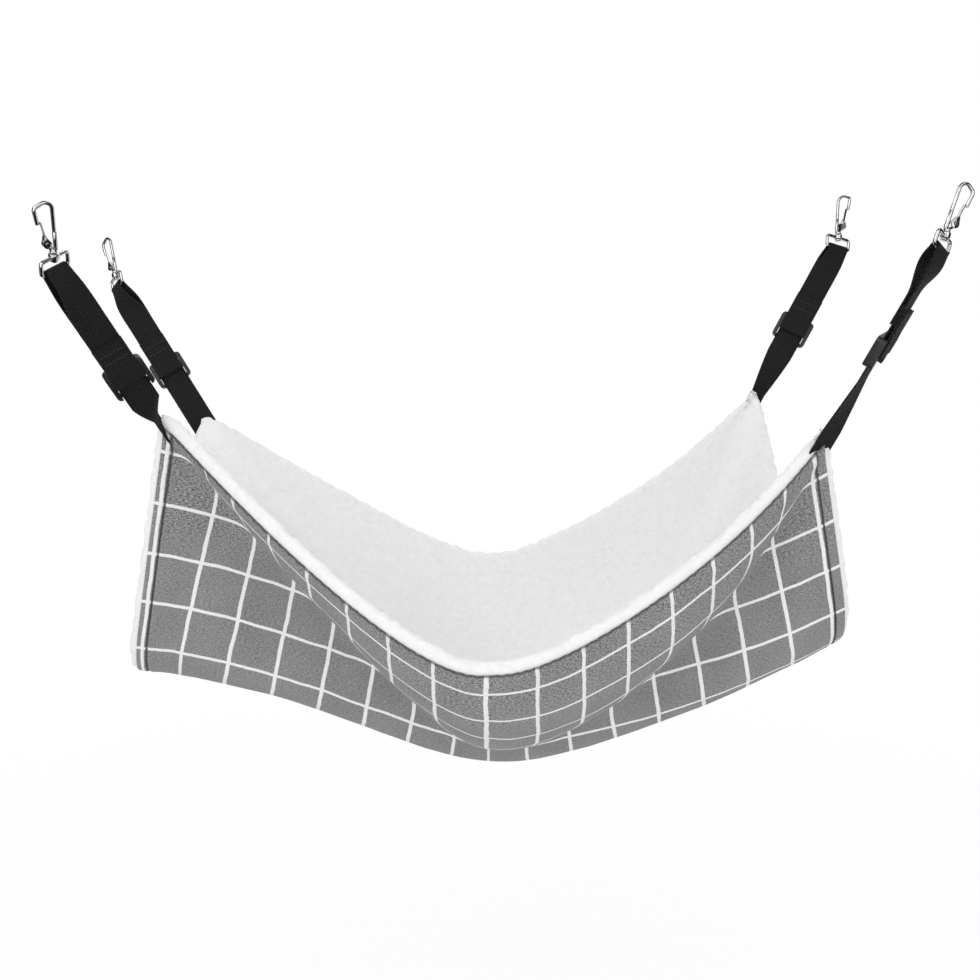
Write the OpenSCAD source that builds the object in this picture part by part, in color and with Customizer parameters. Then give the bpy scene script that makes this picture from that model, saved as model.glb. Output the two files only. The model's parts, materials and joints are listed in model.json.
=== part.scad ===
// Cat hammock: a fleece lined cloth sling hung by four adjustable webbing straps,
// each ending in a strap eye, a swivel and a spring gate hook.
// Origin: the middle of the four strap seams. +X runs along the pad, +Z is up.

/* [Pad] */
// Cut length of the pad, short edge to short edge
pad_length = 560; // [420:2:680]
// Cut width of the pad, lip to lip
pad_width = 400; // [300:2:500]
// Thickness of the woven cover cloth
cover_t = 1; // [0.6:0.1:1.6]
// Thickness of the fleece lining
lining_t = 9; // [6:0.5:12]
// How far the lining rolls past the edge of the cover
lining_roll = 5; // [3:0.5:8]
// Distance of the edge topstitch from the short edges
topstitch_inset = 8; // [5:0.5:14]

/* [Sling] */
// Depth of the keel below the strap seams
sling_depth = 258.6; // [200:0.2:300]
// Length over which the keel bends at the middle
keel_bend = 47; // [30:1:80]
// Slope of the keel towards the left end, in degrees
keel_rise_left = 23.9; // [10:0.1:28]
// Slope of the keel towards the right end, in degrees
keel_rise_right = 19.2; // [10:0.1:28]
// Change of the keel's slope at its left end, in degrees
keel_curl_left = 18.8; // [0:0.1:24]
// Change of the keel's slope at its right end, in degrees
keel_curl_right = 14; // [0:0.1:20]
// Slope of the side walls at the left end, in degrees
wall_angle_left = 84; // [70:0.5:92]
// Slope of the side walls in the middle, in degrees
wall_angle_middle = 92; // [70:0.5:94]
// Slope of the side walls at the right end, in degrees
wall_angle_right = 87; // [70:0.5:92]
// Width of the rounded stretch beside the keel at the left end
bottom_round_left = 71; // [50:1:110]
// Width of the rounded stretch beside the keel in the middle
bottom_round_middle = 60; // [50:1:110]
// Width of the rounded stretch beside the keel at the right end
bottom_round_right = 105; // [50:1:110]
// Width over which the cloth turns at the diagonal crease
crease_blend = 9; // [5:0.5:16]

/* [Webbing] */
// Width of the strap webbing
web_width = 20; // [16:0.5:25]
// Thickness of the strap webbing
web_t = 1; // [0.8:0.1:1.4]
// Webbing from a pad corner to the end sewn on the slider
web_cut = 212; // [200:1:260]
// Distance of the front left slider from its corner
front_left_run = 45; // [42:1:52]
// Distance of the front right slider from its corner
front_right_run = 73; // [46:1:76]
// Distance of the back left slider from its corner
back_left_run = 55; // [46:1:66]
// Distance of the back right slider from its corner
back_right_run = 66; // [46:1:72]
// Slider travel towards the corner
travel_down = 10; // [4:1:12]
// Slider travel towards the hook
travel_up = 16; // [8:1:20]
// Length of webbing sewn back above the slider
sewn_length = 18; // [14:1:24]
// Length of the strap tail inside the seam
tail_length = 16; // [10:1:24]
// Distance of the strap hinge line from the seam corner
hinge_reach = 9; // [8:0.5:12]

/* [Slider] */
// Width of the slider across the webbing
slider_width = 27; // [25:0.5:34]
// Length of the slider along the webbing
slider_length = 21; // [18:0.5:26]
// Thickness of the end bars
end_bar_t = 2.5; // [1.8:0.1:3.2]
// Width of the end bars along the webbing
end_bar_width = 3; // [2:0.1:4]
// Thickness of the centre bar
centre_bar_t = 1.6; // [1.4:0.1:2.4]
// Width of the centre bar along the webbing
centre_bar_width = 4; // [3:0.1:5]
// Corner radius of the slider
slider_corner_r = 3; // [1:0.1:4]

/* [Strap eye] */
// Diameter of the eye's wire
eye_wire_d = 2.5; // [2:0.1:3]
// Height from the lower bar to the top bar
eye_rise = 8.5; // [8:0.1:12]
// Radius of the eye's bends, at the middle of the wire
eye_bend_r = 2; // [1.6:0.1:2.6]
// Diameter of the swivel collar
collar_d = 6.4; // [5:0.1:8]
// Height of the swivel collar
collar_h = 4; // [3:0.1:5]

/* [Hook] */
// Height of the hook above the swivel collar
hook_height = 31; // [29:0.5:40]
// Width of the hook's wire
hook_wire = 2.4; // [2:0.1:2.8]
// Inner radius of the crown that rests on a rail
seat_r = 3.1; // [2.8:0.1:3.6]
// Straight run between the crown and the shoulder
shoulder_run = 3; // [2:0.1:5]
// Bend radius of the shoulder, at the middle of the wire
shoulder_r = 2.6; // [2:0.1:3]
// Length of the nose below the shoulder
nose_run = 8; // [6:0.1:10]
// Distance of the spine from the swivel axis
spine_offset = 1.5; // [1.2:0.1:2]
// Diameter of the swivel stem
stem_d = 2.6; // [2:0.1:3]
// Diameter of the flange and of the peened head on the stem
stem_head_d = 4.6; // [4:0.1:5.4]
// Thickness of the flange and of the peened head
stem_head_t = 1.2; // [0.8:0.1:1.5]

/* [Gate] */
// Distance of the gate pivot from the swivel axis
pivot_reach = 3.4; // [3:0.1:4]
// Height of the gate pivot above the hook's foot
pivot_rise = 6; // [5.6:0.1:7]
// Thickness of the gate strip
gate_t = 0.8; // [0.6:0.1:1]
// Width of the gate strip
gate_width = 2; // [1.6:0.1:2.4]
// Length of the gate behind the nose
gate_lap = 2; // [1:0.1:3]
// Radius of the gate's cheeks
cheek_r = 2.6; // [2.2:0.1:2.8]
// Thickness of one cheek
cheek_t = 0.6; // [0.4:0.1:0.8]
// Diameter of the rivet pin
pin_d = 1.4; // [1:0.1:1.8]
// Thickness of the lug between the cheeks
lug_t = 1.6; // [1.2:0.1:2]
// Thickness of the leaf spring
leaf_t = 0.3; // [0.2:0.05:0.4]

/* [Fits] */
// Gap between pieces that move past each other
layer_gap = 0.3; // [0.25:0.05:0.5]
// Radial clearance of the swivel and of the gate pivot
run_fit = 0.05; // [0.02:0.01:0.1]
// Clearance of sewn and seated pieces
seat_fit = 0.05; // [0.02:0.01:0.1]
// Side clearance of the webbing in the slider and the eye
web_side_gap = 0.4; // [0.3:0.05:0.8]

/* [Hidden] */
$fn = 48;

// Corners in the order front left, front right, back left, back right
corner_names = ["front_left", "front_right", "back_left", "back_right"];
corner_pieces = ["strap_tail", "bartack", "strap", "slider", "strap_end", "end_stitch",
    "strap_loop", "ring", "hook", "gate", "gate_pin", "gate_spring"];

corner_ends = [-1, 1, -1, 1];
corner_sides = [-1, -1, 1, 1];
slider_runs = [front_left_run, front_right_run, back_left_run, back_right_run];

// Strap directions, in degrees: lean from vertical, heading, and roll about the strap
strap_lean = [37.6, 29.6, 31.3, 27.8];
strap_heading = [-119, -49, 172.5, 7];
strap_roll = [-34, -74, 22, 159];
// Turn of the webbing from the slider down to the seam, and up to the strap eye
seam_turn = [62, -22, 0, 42];
eye_turn = [41, -18, -63, 41];
// Lean of the strap eye across the webbing, its tip about its lower bar, and turn of the hook on its swivel
eye_rock = [-16, -20, -1, 15];
eye_tip = [-22, 22, 22, 21];
hook_turn = [150, -30, 197, -78];
// Gathered width of the webbing at the seam, as shares of its full width
seam_width_shares = [0.5, 1, 1, 0.7];

// Pull of the straps on the pad's corners, as shares of half the pad's width
corner_pull_shares = [[0.24, -0.073, 0.116], [-0.08, -0.056, -0.006],
    [0.181, 0.073, 0.028], [-0.125, 0.016, 0.06]];
pull_fade_along = 1.63;
pull_fade_across = 1.05;
// Place of the keel's lowest point along the pad, as a share of half its length
keel_shift_share = 0.004;
// Lean of the cross sections left and right, as shares of the keel's slope
section_lean_shares = [0.05, 0.23];
// Distance of the diagonal crease from the keel, as shares of half the width
crease_middle_share = 0.21;
crease_slope_shares = [0.68, 0.24];
crease_round_share = 0.05;
crease_ease_share = 0.9;
crease_reach_share = 1.1;
crease_least_share = 0.01;
crease_mesh_share = 0.92;
// Slope of the band above the crease at the left end, the middle and the right end
flare_root = [1.8, 18.9, 10.3];
flare_lip = [30.7, 60.9, 89.5];
flare_start_share = 0.6;

half_l = pad_length / 2;
half_w = pad_width / 2;
wall_angles = [wall_angle_left, wall_angle_middle, wall_angle_right];
bottom_rounds = [bottom_round_left, bottom_round_middle, bottom_round_right];
cells_along = 26;
cells_to_crease = 6;
cells_to_lip = 3;
// Grid line of the crease, counted from the rim of the lining
crease_column = 1 + cells_to_lip;
keel_crowding = 1.3;
keel_steps = 24;
profile_steps = 64;
profile_step = (half_w + lining_roll) / profile_steps;
edge_in_share = 0.25;
thread_d = 0.8;
thread_sides = 6;

// Places along a strap, measured from the pad's corner
slider_half = slider_length / 2;
bar_round_share = 0.49;
eye_down = travel_down / 2;
eye_up = travel_up / 2;
leg_start = slider_half + eye_up + web_t;
strap_tuck = 6;
strap_reach = leg_start + eye_up + strap_tuck;
leg_straight = strap_reach + eye_down + web_t;
twist_rungs = 10;
bight_rungs = 8;
hinge_gap = 0.6;
bulge_share = 1.2;

// Layers of webbing, measured from the middle of the strap
leg_offset = web_t + layer_gap;
eye_wire_r = eye_wire_d / 2;
bight_r = eye_wire_r + layer_gap + web_t / 2;
centre_bar_y = web_t / 2 + layer_gap + web_t + seat_fit + centre_bar_t / 2;
wrap_r = centre_bar_t / 2 + seat_fit + web_t / 2;
sewn_back_y = leg_offset + web_t + layer_gap;
sewn_front_y = sewn_back_y + web_t + seat_fit;
slider_front_y = centre_bar_y + centre_bar_t / 2;
slider_back_y = -web_t / 2 - layer_gap - end_bar_t;
sewn_top = slider_half + sewn_length;
sewn_knee_share = 0.35;

// Strap eye and swivel, measured from the eye's lower bar
eye_half = web_width / 2 + web_side_gap + eye_wire_r;
collar_sink_share = 0.375;
collar_low = eye_rise - collar_h * collar_sink_share;
collar_top = collar_low + collar_h;
hook_base = collar_top + layer_gap;

// Hook outline in its own plane: x towards the spine, z up from the foot
crown_sweep = 118;
nose_lean = 8.4;
bend_lap = 3;
crown_r = seat_r + hook_wire / 2;
crown_c = [spine_offset - crown_r, hook_height - crown_r - hook_wire / 2];
crown_end = crown_c + crown_r * [cos(crown_sweep), sin(crown_sweep)];
shoulder_heading = crown_sweep + 90;
shoulder_start = crown_end + shoulder_run * [cos(shoulder_heading), sin(shoulder_heading)];
shoulder_c = shoulder_start + shoulder_r * [-sin(shoulder_heading), cos(shoulder_heading)];
shoulder_end_angle = 180 + nose_lean;
nose_start = shoulder_c + shoulder_r * [cos(shoulder_end_angle), sin(shoulder_end_angle)];
nose_heading = shoulder_end_angle + 90;
nose_along = [cos(nose_heading), sin(nose_heading)];
nose_inward = [-nose_along[1], nose_along[0]];
nose_end = nose_start + nose_run * nose_along;
wire_chamfer_share = 0.25;
// The straight stretches are a little slimmer, so that they end inside the bends
wire_step = 0.04;

// Foot, lug and gate of the hook
foot_bar_share = 0.7;
foot_top = stem_head_t + hook_wire * foot_bar_share;
foot_left = layer_gap - stem_head_d / 2;
lug_root_share = 0.85;
pivot = [-pivot_reach, pivot_rise];
lug_r = cheek_r - leaf_t * 2;
gate_tip = nose_end - gate_lap * nose_along + (hook_wire / 2 + layer_gap + gate_t / 2) * nose_inward;
gate_span = gate_tip - pivot;
gate_length = norm(gate_span);
gate_lean = atan2(gate_span[0], gate_span[1]);
gate_web_low = cheek_r;
gate_web_high = gate_web_low + cheek_r;
cheek_in = lug_t / 2 + layer_gap;
cheek_out = cheek_in + cheek_t;
pin_head_share = 1.8;
pin_head_d = pin_d * pin_head_share;
pin_head_t = cheek_t;
leaf_width = lug_t;
leaf_from = -40;
leaf_to = 62;
leaf_root = 56;
leaf_r = lug_r + seat_fit;

// Stitches on the sewn end and at the corners
stitch_d = 0.7;
stitch_length = 1.7;
stitch_columns = 6;
stitch_rows = 2;
bartack_bars = 5;
bartack_depth_share = 0.45;

function clamp01(x) = min(max(x, 0), 1);
function ease(x) = let (v = clamp01(x)) v * v * (3 - 2 * v);
function mix(a, b, v) = a + (b - a) * v;
function soft_step(x) = let (e = exp(2 * x)) (e - 1) / (e + 1);
function total(list) = [for (k = [0:1:len(list[0]) - 1]) [for (v = list) v[k]] * [for (v = list) 1]];
function unit(v) = v / norm(v);

// Keel of the sling: slope and place at a distance s along it from the middle
function keel_slope(s) =
    (keel_rise_right + keel_rise_left) / 2 * soft_step(s / keel_bend)
        + (keel_rise_right - keel_rise_left) / 2
        + (s < 0 ? keel_curl_left : keel_curl_right) * pow(s / half_l, 2);
function keel_walk(s) =
    total([for (k = [0:keel_steps - 1])
        let (a = keel_slope(s * (k + 0.5) / keel_steps)) [cos(a), sin(a)]]) * s / keel_steps;
function keel_point(s) =
    let (w = keel_walk(s)) [half_l * keel_shift_share + w[0], 0, w[1] - sling_depth];

// Diagonal crease: its distance from the keel at s
function crease(s) =
    let (q = abs(s) / half_l,
        r = sqrt(q * q + crease_round_share * crease_round_share)
            - crease_round_share * crease_ease_share * (1 - min(q, 1)),
        slope_share = crease_slope_shares[s < 0 ? 0 : 1],
        bend_share = 1 - crease_middle_share - slope_share)
    half_w * min(crease_middle_share + slope_share * r + bend_share * r * r, crease_reach_share);

// A value given for the left end, the middle and the right end, at s
function along(list, s) =
    let (q = s / half_l) q < 0 ? mix(list[1], list[0], min(-q, 1)) : mix(list[1], list[2], min(q, 1));

// Slope of the cross section at a distance t from the keel
function section_slope(s, t) =
    let (c = crease(s),
        bottom_round = along(bottom_rounds, s),
        wall = along(wall_angles, s) * ease(t / bottom_round),
        f = clamp01((t - c) / max(half_w - c, crease_blend * crease_least_share)),
        start = ease(t / bottom_round / flare_start_share),
        band = mix(along(flare_root, s), along(flare_lip, s), f) * start,
        m = ease((t - c + crease_blend) / (2 * crease_blend)))
    mix(wall, band, m);

// Half cross section at s: rows of distance, reach and height
function profile(s) =
    [for (k = 0, y = 0, h = 0; k <= profile_steps;
        y = y + cos(section_slope(s, (k + 0.5) * profile_step)) * profile_step,
        h = h + sin(section_slope(s, (k + 0.5) * profile_step)) * profile_step,
        k = k + 1) [k * profile_step, y, h]];

function corner_pull(s, t) =
    let (i = (s < 0 ? 0 : 1) + (t < 0 ? 0 : 2))
    half_w * corner_pull_shares[i]
        * pow(abs(s) / half_l, pull_fade_along) * pow(abs(t) / half_w, pull_fade_across);

// Points of one cross section at the given distances from the keel, front side negative
function section(s, places) =
    let (rows = profile(s),
        reach = [for (r = rows) [r[0], r[1]]],
        rise = [for (r = rows) [r[0], r[2]]],
        lean = keel_slope(s) * section_lean_shares[s < 0 ? 0 : 1],
        up = [-sin(lean), 0, cos(lean)],
        k = keel_point(s))
    [for (t = places)
        k + lookup(abs(t), rise) * up + [0, sign(t) * lookup(abs(t), reach), 0] + corner_pull(s, t)];

// Grid lines across the sling keep one line on the crease
function half_places(s) =
    let (c = min(crease(s), half_w * crease_mesh_share))
    concat([for (k = [1:cells_to_crease]) c * pow(k / cells_to_crease, keel_crowding)],
        [for (k = [1:cells_to_lip]) mix(c, half_w, k / cells_to_lip)], [half_w + lining_roll]);
function places(s) =
    let (h = half_places(s), n = len(h)) concat([for (k = [n - 1:-1:0]) -h[k]], [0], h);

stations = concat([-half_l - lining_roll],
    [for (k = [0:cells_along]) mix(-half_l, half_l, k / cells_along)], [half_l + lining_roll]);
sling = [for (s = stations) section(s, places(s))];
rows_n = len(sling);
cols_n = len(sling[0]);

function clip_index(k, n) = min(max(k, 0), n - 1);
function sling_at(i, j) = sling[clip_index(i, rows_n)][clip_index(j, cols_n)];
function inward(i, j) =
    unit(cross(sling_at(i + 1, j) - sling_at(i - 1, j), sling_at(i, j + 1) - sling_at(i, j - 1)));
sling_inward = [for (i = [0:rows_n - 1]) [for (j = [0:cols_n - 1]) inward(i, j)]];

// Faces of a closed sheet: n by m points on one skin, then as many on the other
function sheet_faces(n, m) =
    let (q = n * m)
    concat(
        [for (i = [0:n - 2]) for (j = [0:m - 2]) let (a = i * m + j)
            each [[a, a + 1, a + m + 1], [a, a + m + 1, a + m]]],
        [for (i = [0:n - 2]) for (j = [0:m - 2]) let (a = q + i * m + j)
            each [[a, a + m + 1, a + 1], [a, a + m, a + m + 1]]],
        [for (i = [0:n - 2]) let (a = i * m, b = a + m)
            each [[a, b, q + b], [a, q + b, q + a]]],
        [for (i = [0:n - 2]) let (a = i * m + m - 1, b = a + m)
            each [[b, a, q + a], [b, q + a, q + b]]],
        [for (j = [0:m - 2]) each [[j + 1, j, q + j], [j + 1, q + j, q + j + 1]]],
        [for (j = [0:m - 2]) let (a = (n - 1) * m + j)
            each [[a, a + 1, q + a + 1], [a, q + a + 1, q + a]]]);

// Cloth between two distances from the sling's middle surface
module cloth(low, high, rim, thin) {
    n = rows_n - 2 * rim;
    m = cols_n - 2 * rim;
    function edge(i, j) = i == 0 || j == 0 || i == rows_n - 1 || j == cols_n - 1;
    function depth(i, j, a, b) = edge(i, j) ? mix(a, b, thin) : a;
    function skin(a, b) = [for (i = [rim:rim + n - 1]) for (j = [rim:rim + m - 1])
        sling[i][j] + sling_inward[i][j] * depth(i, j, a, b)];
    polyhedron(points = concat(skin(high, low), skin(low, high)), faces = sheet_faces(n, m), convexity = 8);
}

module outer_cover() {
    color("dimgray") cloth(-cover_t, 0, 1, 0);
}

module sherpa_lining() {
    color("whitesmoke") cloth(layer_gap, layer_gap + lining_t, 0, edge_in_share);
}

// Round thread along a list of points, with a side direction at each point
module thread(points, sides) {
    n = len(points);
    function ahead(k) = unit(points[min(k + 1, n - 1)] - points[max(k - 1, 0)]);
    function ring_at(k) =
        let (a = ahead(k), u = unit(sides[k] - a * (sides[k] * a)), v = cross(a, u))
        [for (j = [0:thread_sides - 1])
            points[k] + thread_d / 2 * (cos(360 * j / thread_sides) * u + sin(360 * j / thread_sides) * v)];
    faces = concat(
        [for (k = [0:n - 2]) for (j = [0:thread_sides - 1])
            let (a = k * thread_sides + j, b = k * thread_sides + (j + 1) % thread_sides)
            each [[a, a + thread_sides, b + thread_sides], [a, b + thread_sides, b]]],
        [for (j = [1:thread_sides - 2]) each [[0, j, j + 1],
            [(n - 1) * thread_sides, (n - 1) * thread_sides + j + 1, (n - 1) * thread_sides + j]]]);
    polyhedron(points = [for (k = [0:n - 1]) each ring_at(k)], faces = faces, convexity = 4);
}

// The topstitch lies on the cover and stops at the crease lines, short of the strap tails
module edge_topstitch() {
    v = topstitch_inset / (pad_length / cells_along);
    function skin(i, j) = sling[i][j] - sling_inward[i][j] * cover_t;
    color("silver") for (e = [-1, 1]) {
        i = e < 0 ? 1 : rows_n - 2;
        columns = [crease_column:cols_n - 1 - crease_column];
        thread([for (j = columns) mix(skin(i, j), skin(i - e, j), v)], [for (j = columns) sling_inward[i][j]]);
    }
}

// Frames of the strap, the strap eye and the hook at a corner
function corner_point(i) =
    sling[corner_ends[i] < 0 ? 1 : rows_n - 2][corner_sides[i] < 0 ? 1 : cols_n - 2];
function slider_at(i) = slider_runs[i];
function eye_at(i) = (web_cut + slider_runs[i]) / 2;

module on_strap(i) {
    translate(corner_point(i))
        rotate([0, strap_lean[i], strap_heading[i]])
            rotate([0, 0, strap_roll[i]])
                children();
}

module on_slider(i) {
    on_strap(i) translate([0, 0, slider_at(i)]) children();
}

module on_eye(i) {
    on_strap(i) translate([0, 0, eye_at(i)]) rotate([0, eye_rock[i], eye_turn[i]]) children();
}

module on_ring(i) {
    on_eye(i) rotate([eye_tip[i], 0, 0]) children();
}

module on_hook(i) {
    on_ring(i) translate([0, 0, hook_base]) rotate([0, 0, hook_turn[i]]) children();
}

// Flat webbing along a path of rungs: middle, direction across, width.
// Both faces are split along the same diagonals, so a twist keeps its thickness.
module webbing(path) {
    n = len(path);
    function ahead(k) = unit(path[min(k + 1, n - 1)][0] - path[max(k - 1, 0)][0]);
    function rung(k) =
        let (c = path[k][0],
            w = path[k][1] * path[k][2] / 2,
            f = unit(cross(ahead(k), path[k][1])) * web_t / 2)
        [c - w - f, c + w - f, c + w + f, c - w + f];
    faces = concat([[0, 1, 2], [0, 2, 3]],
        [for (k = [0:n - 2]) for (j = [0:3])
            let (a = 4 * k + j, b = 4 * k + (j + 1) % 4)
            each j < 2 ? [[a, a + 4, b + 4], [a, b + 4, b]] : [[a, a + 4, b], [b, a + 4, b + 4]]],
        [[4 * n - 4, 4 * n - 2, 4 * n - 3], [4 * n - 4, 4 * n - 1, 4 * n - 2]]);
    polyhedron(points = [for (k = [0:n - 1]) each rung(k)], faces = faces, convexity = 6);
}

function across(turn) = [cos(turn), sin(turn), 0];

module strap_tail(i) {
    width = web_width * seam_width_shares[i];
    color("black") on_strap(i)
        webbing([for (z = [-tail_length, 0, hinge_reach]) [[0, 0, z], across(seam_turn[i]), width]]);
}

// Dense bar stitches that lock the strap tail in the seam
module bartack(i) {
    width = web_width * seam_width_shares[i];
    step = tail_length * bartack_depth_share / bartack_bars;
    color("gray") on_strap(i) rotate([0, 0, seam_turn[i]])
        for (k = [0:bartack_bars - 1])
            translate([-width / 2, 0, -tail_length * bartack_depth_share - k * step])
                rotate([0, 90, 0]) cylinder(d = stitch_d, h = width);
}

module strap(i) {
    low = hinge_reach + hinge_gap;
    twist_end = slider_at(i) - slider_half - travel_down - web_t;
    function way_up(z) = min(1, max(0, (z - low) / (twist_end - low)));
    function turn(z) = seam_turn[i] * (1 - way_up(z));
    function width(z) = web_width * mix(seam_width_shares[i], 1, way_up(z));
    levels = concat([for (k = [0:twist_rungs]) mix(low, twist_end, k / twist_rungs)],
        [slider_at(i), slider_at(i) + strap_reach]);
    color("black") on_strap(i) webbing([for (z = levels) [[0, 0, z], across(turn(z)), width(z)]]);
}

// Hairpin of webbing round the eye's lower bar
module strap_loop(i) {
    low = slider_at(i) + leg_start;
    flat_to = slider_at(i) + leg_straight;
    top = eye_at(i);
    function turn(v) = eye_turn[i] * ease(v);
    function rock(v) = eye_rock[i] * ease(v);
    function wide(v) = [cos(turn(v)) * cos(rock(v)), sin(turn(v)) * cos(rock(v)), -sin(rock(v))];
    function face(v) = [-sin(turn(v)), cos(turn(v)), 0];
    function offset_at(v) = mix(leg_offset, bight_r, ease(v)) + web_t * bulge_share * pow(sin(180 * v), 2);
    function leg(v, side) =
        [[0, 0, mix(flat_to, top, v)] + side * offset_at(v) * face(v), wide(v), web_width];
    rise = cross(wide(1), face(1));
    front = concat([[[0, leg_offset, low], across(0), web_width]],
        [for (k = [0:twist_rungs - 1]) leg(k / twist_rungs, 1)]);
    bight = [for (k = [0:bight_rungs]) let (a = 180 * k / bight_rungs)
        [[0, 0, top] + bight_r * (cos(a) * face(1) + sin(a) * rise), wide(1), web_width]];
    rear = concat([for (k = [twist_rungs - 1:-1:0]) leg(k / twist_rungs, -1)],
        [[[0, -leg_offset, low], across(0), web_width]]);
    color("black") on_strap(i) webbing(concat(front, bight, rear));
}

// Webbing end folded round the slider's centre bar and sewn to itself
module strap_end(i) {
    fold_z = -(centre_bar_width - centre_bar_t) / 2;
    bar_top = centre_bar_width / 2;
    knee = mix(bar_top, slider_half, 1 - sewn_knee_share);
    fold = [for (k = [0:bight_rungs]) let (a = 180 + 180 * k / bight_rungs)
        [centre_bar_y + wrap_r * cos(a), fold_z + wrap_r * sin(a)]];
    behind = [[sewn_back_y, sewn_top], [sewn_back_y, slider_half], [centre_bar_y - wrap_r, bar_top]];
    ahead = [[centre_bar_y + wrap_r, knee], [sewn_front_y, slider_half + end_bar_width],
        [sewn_front_y, sewn_top]];
    line = concat(behind, fold, ahead);
    color("black") on_slider(i) webbing([for (p = line) [[0, p[0], p[1]], across(0), web_width]]);
}

module end_stitch(i) {
    pitch = web_width / (stitch_columns + 1);
    row_step = sewn_length / (stitch_rows + 1);
    color("gray") on_slider(i)
        for (r = [1:stitch_rows]) for (c = [1:stitch_columns])
            translate([-web_width / 2 + c * pitch - stitch_length / 2, sewn_front_y + web_t / 2,
                sewn_top - r * row_step])
                rotate([0, 90, 0]) cylinder(d = stitch_d, h = stitch_length);
}

module rounded_plate(width, height, r) {
    square([width - 2 * r, height], center = true);
    square([width, height - 2 * r], center = true);
    for (x = [-1, 1]) for (y = [-1, 1])
        translate([x * (width / 2 - r), y * (height / 2 - r)]) circle(r);
}

// Solid of an outline drawn in x and z, between two depths y
module between(low, high) {
    translate([0, high, 0]) rotate([90, 0, 0]) linear_extrude(high - low) children();
}

module slider(i) {
    way = web_width + 2 * web_side_gap;
    color([0.08, 0.08, 0.08]) on_slider(i) {
        difference() {
            between(slider_back_y, slider_front_y) difference() {
                rounded_plate(slider_width, slider_length, slider_corner_r);
                square([way, slider_length - 2 * end_bar_width], center = true);
            }
            between(slider_back_y + end_bar_t, slider_front_y + web_t)
                square([way, slider_length + web_t], center = true);
        }
        translate([-way / 2, centre_bar_y, 0]) rotate([90, 0, 90]) linear_extrude(way)
            rounded_plate(centre_bar_t, centre_bar_width, centre_bar_t * bar_round_share);
    }
}

// Wire frame that takes the webbing, with a collar for the swivel
module ring(i) {
    run_x = eye_half - eye_bend_r;
    run_z = eye_rise - 2 * eye_bend_r;
    bend_sides = [1, -1, -1, 1];
    color("gainsboro") on_ring(i) difference() {
        union() {
            for (z = [0, eye_rise])
                translate([-run_x, 0, z]) rotate([0, 90, 0]) cylinder(d = eye_wire_d, h = 2 * run_x);
            for (x = [-eye_half, eye_half])
                translate([x, 0, eye_bend_r]) cylinder(d = eye_wire_d, h = run_z);
            for (k = [0:3])
                translate([bend_sides[k] * run_x, 0, k < 2 ? eye_rise - eye_bend_r : eye_bend_r])
                    rotate([90, 0, 0]) rotate([0, 0, 90 * k])
                        rotate_extrude(angle = 90) translate([eye_bend_r, 0]) circle(d = eye_wire_d);
            translate([0, 0, collar_low]) cylinder(d = collar_d, h = collar_h);
        }
        translate([0, 0, collar_low - collar_h / 2]) cylinder(d = stem_d + 2 * run_fit, h = 2 * collar_h);
    }
}

// Wire section of the hook: a square with bevelled corners
module wire_section(inset) {
    a = hook_wire / 2 - inset;
    b = a - hook_wire * wire_chamfer_share;
    polygon([[a, -b], [a, b], [b, a], [-b, a], [-a, b], [-a, -b], [-b, -a], [b, -a]]);
}

module straight_wire(from, to) {
    d = to - from;
    translate([from[0], 0, from[1]]) rotate([0, atan2(d[0], d[1]), 0])
        linear_extrude(norm(d)) wire_section(wire_step);
}

module bent_wire(centre, r, from, to) {
    translate([centre[0], 0, centre[1]]) rotate([90, 0, 0]) rotate([0, 0, from - bend_lap])
        rotate_extrude(angle = to - from + 2 * bend_lap) translate([r, 0]) wire_section(0);
}

module hook(i) {
    spine_low = foot_top / 2;
    stem_low = collar_low - hook_base - layer_gap - stem_head_t;
    lug_root = lug_r * lug_root_share;
    color("silver") on_hook(i) difference() {
        union() {
            straight_wire([spine_offset, spine_low], [spine_offset, crown_c[1]]);
            bent_wire(crown_c, crown_r, 0, crown_sweep);
            straight_wire(crown_end, shoulder_start);
            bent_wire(shoulder_c, shoulder_r, crown_sweep, shoulder_end_angle);
            straight_wire(nose_start, nose_end);
            cylinder(d = stem_head_d, h = stem_head_t);
            between(-hook_wire / 2, hook_wire / 2) polygon([[foot_left, stem_head_t / 2],
                [spine_offset + hook_wire / 2, stem_head_t / 2], [spine_offset + hook_wire / 2, foot_top],
                [foot_left, foot_top]]);
            between(-lug_t / 2, lug_t / 2) {
                translate(pivot) circle(lug_r);
                polygon([[foot_left + layer_gap, stem_head_t], [spine_offset, stem_head_t],
                    pivot + lug_root * [cos(leaf_from), sin(leaf_from)], pivot + [-lug_root, 0]]);
            }
            translate([0, 0, stem_low]) cylinder(d = stem_head_d, h = stem_head_t);
            translate([0, 0, stem_low]) cylinder(d = stem_d, h = stem_head_t - stem_low);
        }
        translate([pivot[0], lug_t, pivot[1]]) rotate([90, 0, 0])
            cylinder(d = pin_d + 2 * seat_fit, h = 2 * lug_t);
    }
}

module on_pivot(i) {
    on_hook(i) translate([pivot[0], 0, pivot[1]]) children();
}

module gate(i) {
    color("lightgray") on_pivot(i) rotate([0, gate_lean, 0]) difference() {
        union() {
            between(-gate_width / 2, gate_width / 2) translate([-gate_t / 2, gate_web_low])
                square([gate_t, gate_length - gate_web_low]);
            between(-cheek_out, cheek_out) translate([-gate_t / 2, gate_web_low])
                square([gate_t, gate_web_high - gate_web_low]);
            for (y = [-cheek_out, cheek_in]) between(y, y + cheek_t) {
                circle(cheek_r);
                polygon([[-cheek_r, 0], [cheek_r, 0], [gate_t / 2, gate_web_high],
                    [-gate_t / 2, gate_web_high]]);
            }
        }
        translate([0, 2 * cheek_out, 0]) rotate([90, 0, 0])
            cylinder(d = pin_d + 2 * run_fit, h = 4 * cheek_out);
    }
}

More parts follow.
